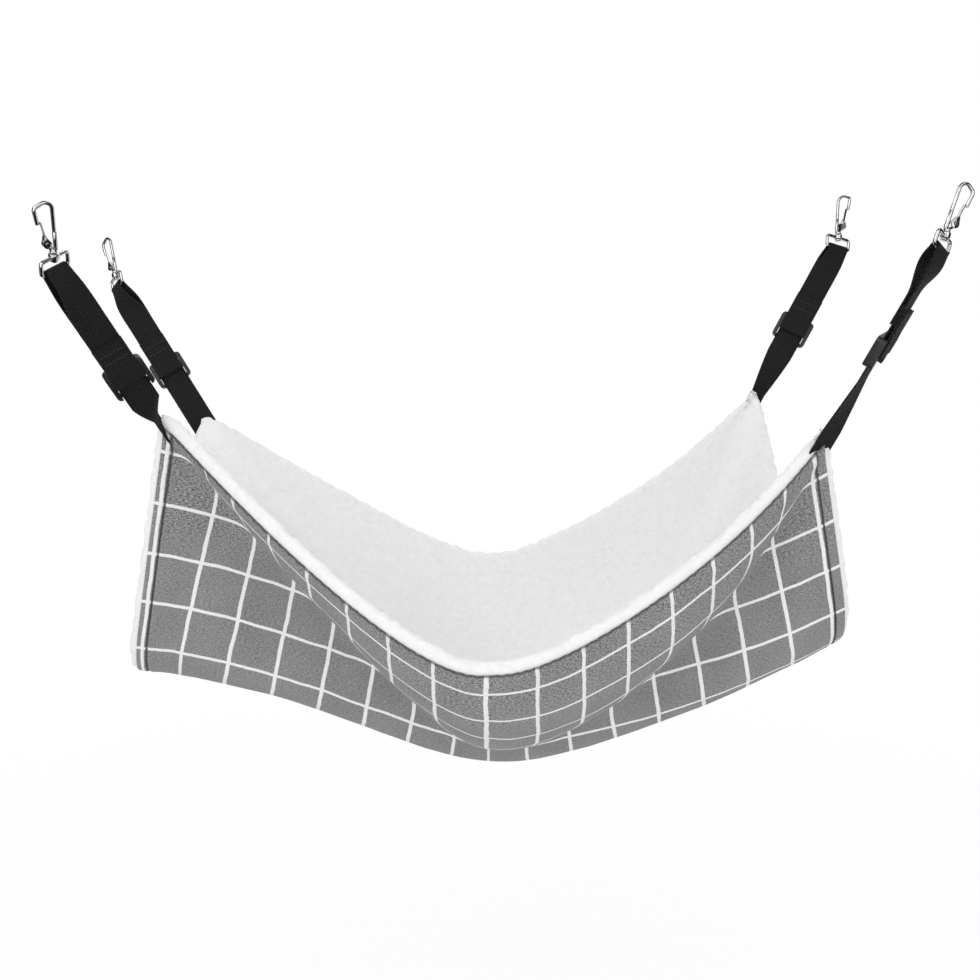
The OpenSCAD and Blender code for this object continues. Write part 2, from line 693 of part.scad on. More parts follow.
module gate_pin(i) {
    head_from = cheek_out + layer_gap;
    color("silver") on_pivot(i) {
        translate([0, head_from, 0]) rotate([90, 0, 0]) cylinder(d = pin_d, h = 2 * head_from);
        for (y = [head_from, -head_from - pin_head_t])
            between(y, y + pin_head_t) circle(d = pin_head_d);
    }
}

// Leaf spring that closes the gate, seated on the lug
module gate_spring(i) {
    tip = [gate_t / 2 + seat_fit * 2, gate_web_high - leaf_t];
    root = leaf_r * [cos(leaf_root), sin(leaf_root)];
    outer = leaf_r + leaf_t;
    reach = 2 * outer;
    color("slategray") on_pivot(i) rotate([0, gate_lean, 0]) between(-leaf_width / 2, leaf_width / 2) {
        intersection() {
            difference() {
                circle(outer);
                circle(leaf_r);
            }
            polygon([[0, 0], reach * [cos(leaf_from), sin(leaf_from)], reach * [1, 0], reach * [1, 1],
                reach * [cos(leaf_to), sin(leaf_to)]]);
        }
        polygon([root, root * outer / leaf_r, tip + [leaf_t, 0], tip]);
    }
}

module corner_piece(i, piece) {
    if (piece == "strap_tail") strap_tail(i);
    if (piece == "bartack") bartack(i);
    if (piece == "strap") strap(i);
    if (piece == "slider") slider(i);
    if (piece == "strap_end") strap_end(i);
    if (piece == "end_stitch") end_stitch(i);
    if (piece == "strap_loop") strap_loop(i);
    if (piece == "ring") ring(i);
    if (piece == "hook") hook(i);
    if (piece == "gate") gate(i);
    if (piece == "gate_pin") gate_pin(i);
    if (piece == "gate_spring") gate_spring(i);
}

outer_cover();
sherpa_lining();
edge_topstitch();
for (i = [0:3]) for (piece = corner_pieces)
    corner_piece(i, piece);
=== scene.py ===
import json
import math
import bpy
import numpy as np
from mathutils import Matrix, Vector, kdtree, noise


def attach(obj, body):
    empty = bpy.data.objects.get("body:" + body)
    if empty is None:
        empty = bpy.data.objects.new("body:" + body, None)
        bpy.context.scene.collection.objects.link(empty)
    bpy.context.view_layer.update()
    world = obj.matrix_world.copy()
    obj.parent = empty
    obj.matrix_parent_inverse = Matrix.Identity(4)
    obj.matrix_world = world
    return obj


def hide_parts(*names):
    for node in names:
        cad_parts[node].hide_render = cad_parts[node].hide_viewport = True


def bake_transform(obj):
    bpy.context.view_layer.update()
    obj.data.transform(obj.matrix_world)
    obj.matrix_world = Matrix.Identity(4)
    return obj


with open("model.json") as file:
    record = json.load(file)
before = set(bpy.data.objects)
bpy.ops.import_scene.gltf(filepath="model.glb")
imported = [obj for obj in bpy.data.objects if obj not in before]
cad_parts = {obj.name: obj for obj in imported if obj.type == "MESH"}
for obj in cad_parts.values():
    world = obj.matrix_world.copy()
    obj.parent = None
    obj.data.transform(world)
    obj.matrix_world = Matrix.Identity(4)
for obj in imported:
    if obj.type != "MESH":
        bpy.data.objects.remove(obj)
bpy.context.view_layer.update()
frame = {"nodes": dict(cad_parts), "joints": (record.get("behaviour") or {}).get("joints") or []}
mm = 0.001
joints = {j["name"]: j for j in frame["joints"]}
print("frame loaded:", len(frame["nodes"]), "nodes")


# Camera, as the photograph was taken

view = {"away": 0.789, "height": 0.088, "pitchDown": 9.84, "focalPixels": 1066, "framePixels": 980}
cameraData = bpy.data.cameras.new("camera")
camera = bpy.data.objects.new("camera", cameraData)
bpy.context.scene.collection.objects.link(camera)
camera.location = (0, -view["away"], view["height"])
camera.rotation_euler = (math.radians(90 - view["pitchDown"]), 0, 0)
cameraData.lens = cameraData.sensor_width * view["focalPixels"] / view["framePixels"]
bpy.context.scene.camera = camera
bpy.context.scene.view_settings.view_transform = "Standard"


# Shader values: an expression on them adds its Math nodes

class Value:
    def __init__(self, tree, socket=None):
        self.tree = tree
        self.socket = socket

    def node(self, kind, settings, values, output=0):
        made = self.tree.nodes.new(kind)
        for key, value in settings.items():
            setattr(made, key, value)
        for key, value in values.items():
            if isinstance(value, Value):
                self.tree.links.new(value.socket, made.inputs[key])
            else:
                made.inputs[key].default_value = value
        return Value(self.tree, made.outputs[output])

    def maths(self, operation, first, second=0.0):
        return self.node("ShaderNodeMath", {"operation": operation}, {0: first, 1: second})

    def __add__(self, other):
        return self.maths("ADD", self, other)

    def __radd__(self, other):
        return self.maths("ADD", other, self)

    def __sub__(self, other):
        return self.maths("SUBTRACT", self, other)

    def __rsub__(self, other):
        return self.maths("SUBTRACT", other, self)

    def __mul__(self, other):
        return self.maths("MULTIPLY", self, other)

    def __rmul__(self, other):
        return self.maths("MULTIPLY", other, self)

    def __truediv__(self, other):
        return self.maths("DIVIDE", self, other)

    def over(self, low, high):
        # 0 below low, 1 above high, straight between
        limits = {"From Min": low, "From Max": high, "To Min": 0.0, "To Max": 1.0}
        return self.node("ShaderNodeMapRange", {"clamp": True}, {"Value": self, **limits})

    def folded(self, half):
        # up and down between 0 and half
        return self.maths("PINGPONG", self, half)

    def most(self, other):
        return self.maths("MAXIMUM", self, other)

    def unsigned(self):
        return self.maths("ABSOLUTE", self)


def newFinish(name, **constants):
    made = bpy.data.materials.new(name)
    made.use_nodes = True
    shader = made.node_tree.nodes["Principled BSDF"]
    for key, value in constants.items():
        shader.inputs[key.replace("_", " ")].default_value = value
    return made, shader, Value(made.node_tree)


def tint(start, factor, low, high):
    # 6, 7 and 2 are the Mix node's colour sockets
    return start.node("ShaderNodeMix", {"data_type": "RGBA"}, {0: factor, 6: low, 7: high}, 2)


def grey(level, warm=0.0):
    return (level * (1 + warm), level, level * (1 - warm), 1)


def feed(shader, **links):
    for key, value in links.items():
        value.tree.links.new(value.socket, shader.inputs[key.replace("_", " ")])


def bumped(start, height, depth, strength=1.0):
    return start.node("ShaderNodeBump", {}, {"Strength": strength, "Distance": depth, "Height": height})


def noiseOn(start, where, scale, detail=2.0, rough=0.5):
    return start.node("ShaderNodeTexNoise", {}, {"Vector": where, "Scale": scale, "Detail": detail,
        "Roughness": rough})


def centredNoise(start, where, scale, detail=2.0, rough=0.5):
    return noiseOn(start, where, scale, detail, rough) - 0.5


def objectPlace(start):
    return start.node("ShaderNodeTexCoord", {}, {}, 3)


def mapPlace(start, name):
    # the two values of a piece's own map
    uv = start.node("ShaderNodeUVMap", {"uv_map": name}, {})
    return [start.node("ShaderNodeSeparateXYZ", {}, {0: uv}, k) for k in range(2)]


def together(start, x, y, z=0.0):
    return start.node("ShaderNodeCombineXYZ", {}, {0: x, 1: y, 2: z})


# Finishes: the lengths of cloth and webbing are in millimetres, other noise scales are per metre

check = {"pitchAlong": 34.0, "pitchAcross": 33.0, "firstAlong": 4.7, "firstAcross": 18.2, "skew": 0.012,
    "cellsBefore": 4, "lineAcross": 1.2, "lineAlong": 0.9, "soft": 0.35, "dark": 0.075, "pale": 0.42,
    "lineDark": 0.78, "linePale": 1.0, "swayScale": 0.045, "sway": 2.2, "raggedScale": 1.4, "ragged": 0.5}
weave = {"yarnLong": 0.5, "yarnFine": 1.8, "warp": 1.3, "weft": 0.7, "speckleScale": 1.3,
    "speckleRough": 0.7, "speckle": 0.7, "cloudScale": 0.03, "cloud": 0.3, "flareBand": (40.0, 75.0),
    "flareGain": 1.5, "lipBand": (4.0, 15.0), "hatchHalf": 0.75, "hatchSlant": 0.35, "hatchDrift": 9.0,
    "hatch": 0.45, "seamBand": (0.7, 1.5), "seamShade": 0.85, "lipLine": (0.5, 1.7), "lipRagged": 1.6,
    "lipShade": 0.7, "shade": 0.03, "yarnHalf": 0.45, "yarnHigh": 0.5, "heatherHigh": 0.9, "lineHigh": 0.5,
    "hatchHigh": 0.9, "bumpDeep": 0.25, "bump": 0.8}


def checkLines(along, across, sway, ragged):
    c = check
    startAlong = c["pitchAlong"] * c["cellsBefore"] - c["firstAlong"]
    startAcross = c["pitchAcross"] * c["cellsBefore"] - c["firstAcross"]
    skew = (along - slingShape["padLength"] / 2) * c["skew"]
    fromAcross = (along + sway + startAlong).folded(c["pitchAlong"] / 2)
    fromAlong = (across - sway - skew + startAcross).folded(c["pitchAcross"] / 2)
    maskAcross = 1 - (fromAcross + ragged).over(c["lineAcross"], c["lineAcross"] + c["soft"])
    maskAlong = 1 - (fromAlong + ragged).over(c["lineAlong"], c["lineAlong"] + c["soft"])
    return maskAcross.most(maskAlong)


def clothFinish():
    made, shader, v = newFinish("check_cloth", Roughness=0.92, Sheen_Weight=0.12, Sheen_Roughness=0.6)
    c = check
    k = weave
    shareAlong, shareAcross = mapPlace(v, "cloth")
    along = shareAlong * slingShape["padLength"]
    across = shareAcross * slingShape["padWidth"]
    flat = together(v, along, across)
    drift = centredNoise(v, flat, c["swayScale"])
    ragged = centredNoise(v, flat, c["raggedScale"], detail=1.0) * c["ragged"]
    mask = checkLines(along, across, drift * c["sway"], ragged)
    warp = centredNoise(v, together(v, along * k["yarnLong"], across * k["yarnFine"]), 1.0, detail=1.0)
    weft = centredNoise(v, together(v, along * k["yarnFine"], across * k["yarnLong"]), 1.0, detail=1.0)
    speckle = centredNoise(v, flat, k["speckleScale"], rough=k["speckleRough"])
    heather = warp * k["warp"] + weft * k["weft"] + speckle * k["speckle"]
    cloud = centredNoise(v, flat, k["cloudScale"], detail=3.0)
    edge = across.folded(slingShape["padWidth"] / 2)
    nearLip = 1 - edge.over(*k["lipBand"])
    flare = 1 - edge.over(*k["flareBand"])
    slant = along + across * k["hatchSlant"] + drift * k["hatchDrift"]
    hatch = slant.folded(k["hatchHalf"]) / k["hatchHalf"]
    ground = heather * (flare * k["flareGain"] + 1) + cloud * k["cloud"] + 0.5
    # near the lip the hatch paints the cloth darker in the pucker valleys: painted shade; the same hatch also
    # sinks the bump there
    tone = (ground - nearLip * (hatch - 0.5) * k["hatch"]).over(0.0, 1.0)
    cloth = tint(v, tone, grey(c["dark"]), grey(c["pale"]))
    white = tint(v, tone, grey(c["lineDark"]), grey(c["linePale"]))
    checked = tint(v, mask, cloth, white)
    # painted shade: a dark band in the topstitch groove along the short edges, and a ragged dark line where
    # the cover's lip turns under against the fleece
    shortEdge = along.folded(slingShape["padLength"] / 2) - cover["stitchInset"]
    seam = 1 - shortEdge.unsigned().over(*k["seamBand"])
    lipLine = (1 - (edge + ragged * k["lipRagged"]).over(*k["lipLine"])) * k["lipShade"]
    feed(shader, Base_Color=tint(v, lipLine.most(seam * k["seamShade"]), checked, grey(k["shade"])))
    yarnAlong = along.folded(k["yarnHalf"]) / k["yarnHalf"]
    yarnAcross = across.folded(k["yarnHalf"]) / k["yarnHalf"]
    raised = yarnAlong * yarnAcross * k["yarnHigh"] + heather * k["heatherHigh"] + mask * k["lineHigh"]
    height = raised - nearLip * hatch * k["hatchHigh"]
    feed(shader, Normal=bumped(v, height, k["bumpDeep"] * mm, k["bump"]))
    return made


fleeceLook = {"glow": 0.6, "glowDeep": 4, "curlScale": 330.0, "curlSoft": 0.5, "curl": 0.8,
    "pileScale": 900.0, "pileRough": 0.65, "pile": 0.5, "clumpScale": 120.0, "clump": 0.5,
    "toneBand": (0.35, 1.15), "dark": 0.85, "pale": 0.92, "warm": 0.003, "bumpDeep": 0.9, "bump": 0.35}


def fleeceFinish():
    k = fleeceLook
    made, shader, v = newFinish("sherpa_fleece", Roughness=1.0, Sheen_Weight=0.15, Sheen_Roughness=0.5,
        Subsurface_Weight=k["glow"], Subsurface_Radius=(1, 1, 1), Subsurface_Scale=k["glowDeep"] * mm)
    where = objectPlace(v)
    curls = v.node("ShaderNodeTexVoronoi", {"feature": "SMOOTH_F1"}, {"Vector": where,
        "Scale": k["curlScale"], "Smoothness": k["curlSoft"]})
    pile = noiseOn(v, where, k["pileScale"], detail=3.0, rough=k["pileRough"])
    clump = noiseOn(v, where, k["clumpScale"])
    height = (1 - curls) * k["curl"] + pile * k["pile"] + clump * k["clump"]
    # the fleece is painted darker where the pile is low, between curls and clumps: painted shade in the
    # hollows of the bump
    tone = height.over(*k["toneBand"])
    feed(shader, Base_Color=tint(v, tone, grey(k["dark"]), grey(k["pale"], k["warm"])))
    feed(shader, Normal=bumped(v, height, k["bumpDeep"] * mm, k["bump"]))
    return made


webbingLook = {"slant": 0.35, "fuzzScale": 2.4, "crestBand": (0.35, 0.95), "dark": 0.004, "pale": 0.042,
    "rough": 0.74, "crestShine": 0.3, "ribHigh": 0.6, "slantHigh": 0.5, "fuzzHigh": 0.25, "bumpDeep": 0.25,
    "bump": 0.8}


def webbingFinish():
    k = webbingLook
    made, shader, v = newFinish("ribbed_webbing", Roughness=0.7, Sheen_Weight=0.03, Specular_IOR_Level=0.25)
    x, y = mapPlace(v, "webbing")
    halfRib = webbing["ribPitch"] / 2
    halfYarn = webbing["yarnPitch"] / 2
    rib = y.folded(halfRib) / halfRib
    slant = (x + y * k["slant"]).folded(halfYarn) / halfYarn
    fuzz = noiseOn(v, together(v, x, y), k["fuzzScale"])
    # rib crests are painted lighter: a painted highlight; the lower roughness on them is real gloss
    crest = (rib * slant).over(*k["crestBand"]) * fuzz
    height = rib * k["ribHigh"] + slant * k["slantHigh"] + fuzz * k["fuzzHigh"]
    feed(shader, Base_Color=tint(v, crest, grey(k["dark"]), grey(k["pale"])))
    feed(shader, Roughness=k["rough"] - crest * k["crestShine"])
    feed(shader, Normal=bumped(v, height, k["bumpDeep"] * mm, k["bump"]))
    return made


threadLook = {"plyScale": 2500.0, "dark": 0.006, "pale": 0.03, "bumpDeep": 0.1, "bump": 0.6}


def threadFinish():
    k = threadLook
    made, shader, v = newFinish("sewing_thread", Roughness=0.7, Sheen_Weight=0.2)
    ply = noiseOn(v, objectPlace(v), k["plyScale"])
    feed(shader, Base_Color=tint(v, ply, grey(k["dark"]), grey(k["pale"])))
    feed(shader, Normal=bumped(v, ply, k["bumpDeep"] * mm, k["bump"]))
    return made


plasticLook = {"grainScale": 1800.0, "rubScale": 160.0, "rubRough": 0.6, "rubBand": (0.5, 0.8), "dark": 0.008,
    "pale": 0.02, "rough": 0.34, "rubMatt": 0.2, "bumpDeep": 0.06, "bump": 0.5}


def plasticFinish():
    k = plasticLook
    made, shader, v = newFinish("moulded_plastic", Roughness=0.42, Specular_IOR_Level=0.5)
    where = objectPlace(v)
    grain = noiseOn(v, where, k["grainScale"])
    rubs = noiseOn(v, where, k["rubScale"], detail=3.0, rough=k["rubRough"])
    feed(shader, Base_Color=tint(v, rubs.over(*k["rubBand"]), grey(k["dark"]), grey(k["pale"])))
    feed(shader, Roughness=k["rough"] + rubs * k["rubMatt"])
    feed(shader, Normal=bumped(v, grain, k["bumpDeep"] * mm, k["bump"]))
    return made


plateLook = {"castScale": 420.0, "wearScale": 140.0, "wearRough": 0.65, "wearBand": (0.45, 0.75),
    "bright": 0.58, "worn": 0.42, "rough": 0.1, "wearMatt": 0.16, "bumpDeep": 0.12, "bump": 0.35}


def platedFinish():
    k = plateLook
    made, shader, v = newFinish("bright_plate", Metallic=1.0, Roughness=0.14)
    where = objectPlace(v)
    cast = noiseOn(v, where, k["castScale"])
    patches = noiseOn(v, where, k["wearScale"], detail=4.0, rough=k["wearRough"])
    wear = patches.over(*k["wearBand"])
    feed(shader, Base_Color=tint(v, wear, grey(k["bright"]), grey(k["worn"])))
    feed(shader, Roughness=k["rough"] + wear * k["wearMatt"])
    feed(shader, Normal=bumped(v, cast, k["bumpDeep"] * mm, k["bump"]))
    return made


springLook = {"brushScale": 700.0, "dark": 0.36, "pale": 0.5, "rough": 0.25, "brushMatt": 0.2}


def springFinish():
    k = springLook
    made, shader, v = newFinish("spring_strip", Metallic=1.0, Roughness=0.3)
    brushed = noiseOn(v, objectPlace(v), k["brushScale"])
    feed(shader, Base_Color=tint(v, brushed, grey(k["dark"]), grey(k["pale"])))
    feed(shader, Roughness=k["rough"] + brushed * k["brushMatt"])
    return made


# Sling: the same drape as the solid pad, at a finer step, in millimetres and degrees

slingShape = {"padLength": 560, "padWidth": 400, "depth": 258.6, "keelBend": 47, "keelRise": (23.9, 19.2),
    "keelCurl": (18.8, 14), "keelShift": 0.004, "wallAngle": (84, 92, 87), "bottomRound": (71, 60, 105),
    "creaseBlend": 9, "bandLeast": 0.09, "creaseMiddle": 0.21, "creaseSlope": (0.68, 0.24),
    "creaseRound": 0.05, "creaseEase": 0.9, "creaseReach": 1.1, "flareRoot": (1.8, 18.9, 10.3),
    "flareLip": (30.7, 60.9, 89.5), "flareStart": 0.6, "sectionLean": (0.05, 0.23), "roll": 5,
    "pullAlong": 1.63, "pullAcross": 1.05,
    "pulls": ((0.24, -0.073, 0.116), (-0.08, -0.056, -0.006), (0.181, 0.073, 0.028), (-0.125, 0.016, 0.06)),
    "profileSteps": 410, "keelSteps": 24}


def ease(x):
    v = np.clip(x, 0, 1)
    return v * v * (3 - 2 * v)


def endOf(pair, s):
    return pair[0] if s < 0 else pair[1]


def keelSlope(s, end):
    k = slingShape
    left, right = k["keelRise"]
    curl = endOf(k["keelCurl"], end) * (s / (k["padLength"] / 2)) ** 2
    return (right + left) / 2 * np.tanh(s / k["keelBend"]) + (right - left) / 2 + curl


def creaseAt(s):
    k = slingShape
    q = abs(s) / (k["padLength"] / 2)
    r = math.sqrt(q * q + k["creaseRound"] ** 2) - k["creaseRound"] * k["creaseEase"] * (1 - min(q, 1))
    slope = endOf(k["creaseSlope"], s)
    bend = 1 - k["creaseMiddle"] - slope
    return k["padWidth"] / 2 * min(k["creaseMiddle"] + slope * r + bend * r * r, k["creaseReach"])


def valueAlong(three, s):
    # three: at the left end, the middle and the right end
    q = max(-1, min(1, s / (slingShape["padLength"] / 2)))
    return three[1] + (three[0 if q < 0 else 2] - three[1]) * abs(q)


def sectionSlope(s, t):
    k = slingShape
    c = creaseAt(s)
    halfW = k["padWidth"] / 2
    rounding = valueAlong(k["bottomRound"], s)
    wall = valueAlong(k["wallAngle"], s) * ease(t / rounding)
    f = np.clip((t - c) / max(halfW - c, k["bandLeast"]), 0, 1)
    root = valueAlong(k["flareRoot"], s)
    band = (root + (valueAlong(k["flareLip"], s) - root) * f) * ease(t / rounding / k["flareStart"])
    turn = ease((t - c + k["creaseBlend"]) / (2 * k["creaseBlend"]))
    return np.radians(wall + (band - wall) * turn)


def drape(along, across):
    k = slingShape
    halfL = k["padLength"] / 2
    halfW = k["padWidth"] / 2
    step = (halfW + 2 * k["roll"]) / k["profileSteps"]
    fine = (np.arange(k["profileSteps"]) + 0.5) * step
    marks = np.arange(k["profileSteps"] + 1) * step
    mids = (np.arange(k["keelSteps"]) + 0.5) / k["keelSteps"]
    points = np.zeros((len(along), len(across), 3))
    for i, s in enumerate(along):
        keel = np.radians(keelSlope(s * mids, s))
        keelX = halfL * k["keelShift"] + np.cos(keel).mean() * s
        keelZ = np.sin(keel).mean() * s - k["depth"]
        slope = sectionSlope(s, fine)
        reach = np.interp(np.abs(across), marks, np.concatenate([[0], np.cumsum(np.cos(slope)) * step]))
        rise = np.interp(np.abs(across), marks, np.concatenate([[0], np.cumsum(np.sin(slope)) * step]))
        lean = math.radians(keelSlope(s, s) * endOf(k["sectionLean"], s))
        points[i, :, 0] = keelX - math.sin(lean) * rise
        points[i, :, 1] = np.sign(across) * reach
        points[i, :, 2] = keelZ + math.cos(lean) * rise
        pulls = np.array([k["pulls"][(0 if s < 0 else 1) + (0 if t < 0 else 2)] for t in across])
        fade = (abs(s) / halfL) ** k["pullAlong"] * (np.abs(across) / halfW) ** k["pullAcross"]
        points[i] += halfW * pulls * fade[:, None]
    return points


def inwardOf(points):
    n = np.cross(np.gradient(points, axis=0), np.gradient(points, axis=1))
    return n / np.linalg.norm(n, axis=2)[:, :, None]


# Small helpers for making and placing pieces

def deselectAll():
    bpy.ops.object.select_all(action="DESELECT")


def makeActive(obj):
    deselectAll()
    obj.select_set(True)
    bpy.context.view_layer.objects.active = obj


def applyModifier(obj, kind, **settings):
    makeActive(obj)
    mod = obj.modifiers.new(kind.lower(), kind)
    for key, value in settings.items():
        setattr(mod, key, value)
    bpy.ops.object.modifier_apply(modifier=mod.name)


def dress(obj, finish, smoothAngle):
    obj.data.materials.clear()
    obj.data.materials.append(finish)
    makeActive(obj)
    bpy.ops.object.shade_smooth_by_angle(angle=math.radians(smoothAngle))


def bevelEdges(obj, width, angle, segments=2):
    applyModifier(obj, "BEVEL", width=width, segments=segments, limit_method="ANGLE",
        angle_limit=math.radians(angle))


def settle(obj, body, node):
    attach(obj, body)
    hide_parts(node)


def newGrid(name, rows, columns):
    deselectAll()
    bpy.ops.mesh.primitive_grid_add(x_subdivisions=rows - 1, y_subdivisions=columns - 1, size=1)
    made = bpy.context.object
    made.name = name
    made.data.name = name
    flat = getPlaces(made)
    i = np.rint((flat[:, 0] + 0.5) * (rows - 1)).astype(int)
    j = np.rint((flat[:, 1] + 0.5) * (columns - 1)).astype(int)
    return made, i, j


def setPlaces(obj, places):
    obj.data.vertices.foreach_set("co", np.asarray(places, float).ravel())
    obj.data.update()


def getPlaces(obj):
    flat = np.zeros(len(obj.data.vertices) * 3)
    obj.data.vertices.foreach_get("co", flat)
    return flat.reshape(-1, 3)


def setMap(obj, name, perVertex):
    layer = obj.data.uv_layers.get(name) or obj.data.uv_layers.new(name=name)
    owners = np.zeros(len(obj.data.loops), int)
    obj.data.loops.foreach_get("vertex_index", owners)
    layer.data.foreach_set("uv", np.asarray(perVertex, float)[owners].ravel())
    for other in [m for m in obj.data.uv_layers if m.name != name]:
        obj.data.uv_layers.remove(other)


def lumpy(places, scale, seed):
    # smooth noise from -1 to 1 at each place
    return np.array([noise.noise(Vector(p) * scale + Vector((seed, seed * 2, 0))) for p in places])


def treeOf(points):
    flat = points.reshape(-1, 3) * mm
    tree = kdtree.KDTree(len(flat))
    for k, p in enumerate(flat):
        tree.insert(p, k)
    tree.balance()
    return tree


def ramp(x, start, span):
    return min(1, max(0, x - start) / span)


# Cover cloth

cover = {"thick": 1.0, "stepAlong": 2.4, "stepAcross": 3.2, "lipStep": 1.6, "lipBand": 16, "stitchInset": 8,
    "grooveDeep": 0.9, "grooveHalf": 1.3, "grooveRows": 3, "grooveRowShare": 0.6, "leastStep": 1.0,
    "hemPuff": 0.5, "lipPuff": 0.7, "puckerPitch": 7.5, "puckerDeep": 0.45, "puckerDrift": 4, "driftLong": 30,
    "waveLong": 55, "waveDeep": 1.1, "rippleLong": 17, "rippleDeep": 0.3, "calmEdge": 20, "smoothAngle": 60}
# how the check shears left and right of the middle, and over which lengths that fades
shear = {"share": (0.13, 0.075), "wallFrom": (85, 65), "flare": 4.2, "flareFrom": 5, "flareOver": 40,
    "middleCalm": 25, "endCalm": 45}
noiseSeeds = {"wave": 3, "ripple": 11, "drift": 23}


def coverStations():
    halfL = slingShape["padLength"] / 2
    halfW = slingShape["padWidth"] / 2
    seam = halfL - cover["stitchInset"]
    rows = range(-cover["grooveRows"], cover["grooveRows"] + 1)
    rowStep = cover["grooveHalf"] * cover["grooveRowShare"]
    extra = [end * (seam + k * rowStep) for end in (-1, 1) for k in rows]
    count = int(slingShape["padLength"] / cover["stepAlong"])
    even = np.linspace(-halfL, halfL, count)
    clear = [s for s in even if min(abs(s - e) for e in extra) > cover["leastStep"]]
    along = np.array(sorted(clear + extra))
    inner = halfW - cover["lipBand"]
    middle = np.linspace(-inner, inner, int(2 * inner / cover["stepAcross"]))
    lip = np.linspace(inner, halfW, int(cover["lipBand"] / cover["lipStep"]) + 1)[1:]
    return along, np.concatenate([-lip[::-1], middle, lip])


def giveOf(s, t):
    # how far the pull of the corners shears the check along the pad, most at the crease
    side = 0 if s < 0 else 1
    d = np.abs(t) - creaseAt(s)
    wall = shear["share"][side] * (d + shear["wallFrom"][side])
    band = ease((d - shear["flareFrom"]) / shear["flareOver"])
    toEnd = slingShape["padLength"] / 2 - abs(s)
    fade = math.tanh(s / shear["middleCalm"]) * float(ease(toEnd / shear["endCalm"]))
    return fade * (wall * (1 - band) - shear["flare"] * band)


def makeCover(finish):
    along, across = coverStations()
    halfL = slingShape["padLength"] / 2
    halfW = slingShape["padWidth"] / 2
    points = drape(along, across)
    inward = inwardOf(points)
    s = along[:, None] + 0 * across[None, :]
    t = across[None, :] + 0 * along[:, None]
    shift = np.full(s.shape, -cover["thick"] / 2)
    seam = halfL - cover["stitchInset"]
    shift += cover["grooveDeep"] * np.exp(-((np.abs(s) - seam) / cover["grooveHalf"]) ** 2)
    fromEdge = halfL - np.abs(s)
    shift -= cover["hemPuff"] * np.sin(np.pi * np.clip(fromEdge / (2 * cover["stitchInset"]), 0, 1)) ** 2
    fromLip = halfW - np.abs(t)
    nearLip = ease(1 - fromLip / cover["lipBand"])
    shift -= cover["lipPuff"] * np.sin(np.pi * np.clip(fromLip / cover["lipBand"], 0, 1)) ** 2
    flatPlaces = np.stack([s, t, 0 * s], 2).reshape(-1, 3)
    wave, ripple, drift = [lumpy(flatPlaces, 1 / cover[kind + "Long"], seed).reshape(s.shape)
        for kind, seed in noiseSeeds.items()]
    calm = np.clip(np.minimum(fromEdge, fromLip) / cover["calmEdge"], 0, 1)
    shift += calm * (cover["waveDeep"] * wave + cover["rippleDeep"] * ripple)
    pucker = np.sin(2 * np.pi * s / cover["puckerPitch"] + cover["puckerDrift"] * drift)
    shift += nearLip * cover["puckerDeep"] * pucker
    made, i, j = newGrid("cover_cloth", len(along), len(across))
    setPlaces(made, ((points + inward * shift[:, :, None]) * mm)[i, j])
    sheared = along[:, None] + np.array([giveOf(a, across) for a in along])
    setMap(made, "cloth", np.stack([sheared[i, j] / (2 * halfL) + 0.5, across[j] / (2 * halfW) + 0.5], 1))
    applyModifier(made, "SOLIDIFY", thickness=cover["thick"] * mm, offset=0)
    dress(made, finish, cover["smoothAngle"])
    settle(made, "pad", "outer_cover")
    return made


# Fleece lining, which rolls past the edges of the cover

fleece = {"thick": 9.0, "gap": 0.3, "step": 2.35, "rimRound": 4.6, "rimShares": (0, 0.05, 0.18, 0.4, 0.68),
    "thinShare": 0.03, "rimBand": 7, "rimSwell": 0.8, "rimShows": (0.8, 1.5), "faceShows": (6, 2),
    "nubSize": 5.2, "nubHigh": 1.1, "nubTight": 1.35, "nubMiddle": 0.6, "rimNubs": 0.6, "curlSize": 2.6,
    "curlHigh": 0.45, "waveLong": 60, "waveDeep": 0.8, "smoothAngle": 180}


def rimStations(half):
    # closer together at the rim, where the fleece rounds over
    rim = fleece["rimRound"] * np.array(fleece["rimShares"])
    inner = half - fleece["rimRound"]
    middle = np.linspace(-inner, inner, int(2 * inner / fleece["step"]) // 2 * 2 + 1)
    return np.concatenate([rim - half, middle, half - rim[::-1]])


def pileLift(p, height, edge):
    # how far the pile stands out at a place, most where it rounds over the rim
    at = Vector(p) / mm
    rim = max(0, 1 - edge / fleece["rimBand"])
    shows = max(rim * ramp(height, *fleece["rimShows"]), ramp(height, *fleece["faceShows"]))
    if shows <= 0:
        return 0
    gap = noise.voronoi(at / fleece["nubSize"])[0]
    nub = 1 - min(1.0, gap[0] * fleece["nubTight"]) ** 2
    nubs = fleece["nubHigh"] * (1 + fleece["rimNubs"] * rim) * (nub - fleece["nubMiddle"])
    curls = fleece["curlHigh"] * noise.noise(at / fleece["curlSize"])
    waves = fleece["waveDeep"] * noise.noise(at / fleece["waveLong"])
    return shows * (nubs + curls + waves + rim * fleece["rimSwell"])


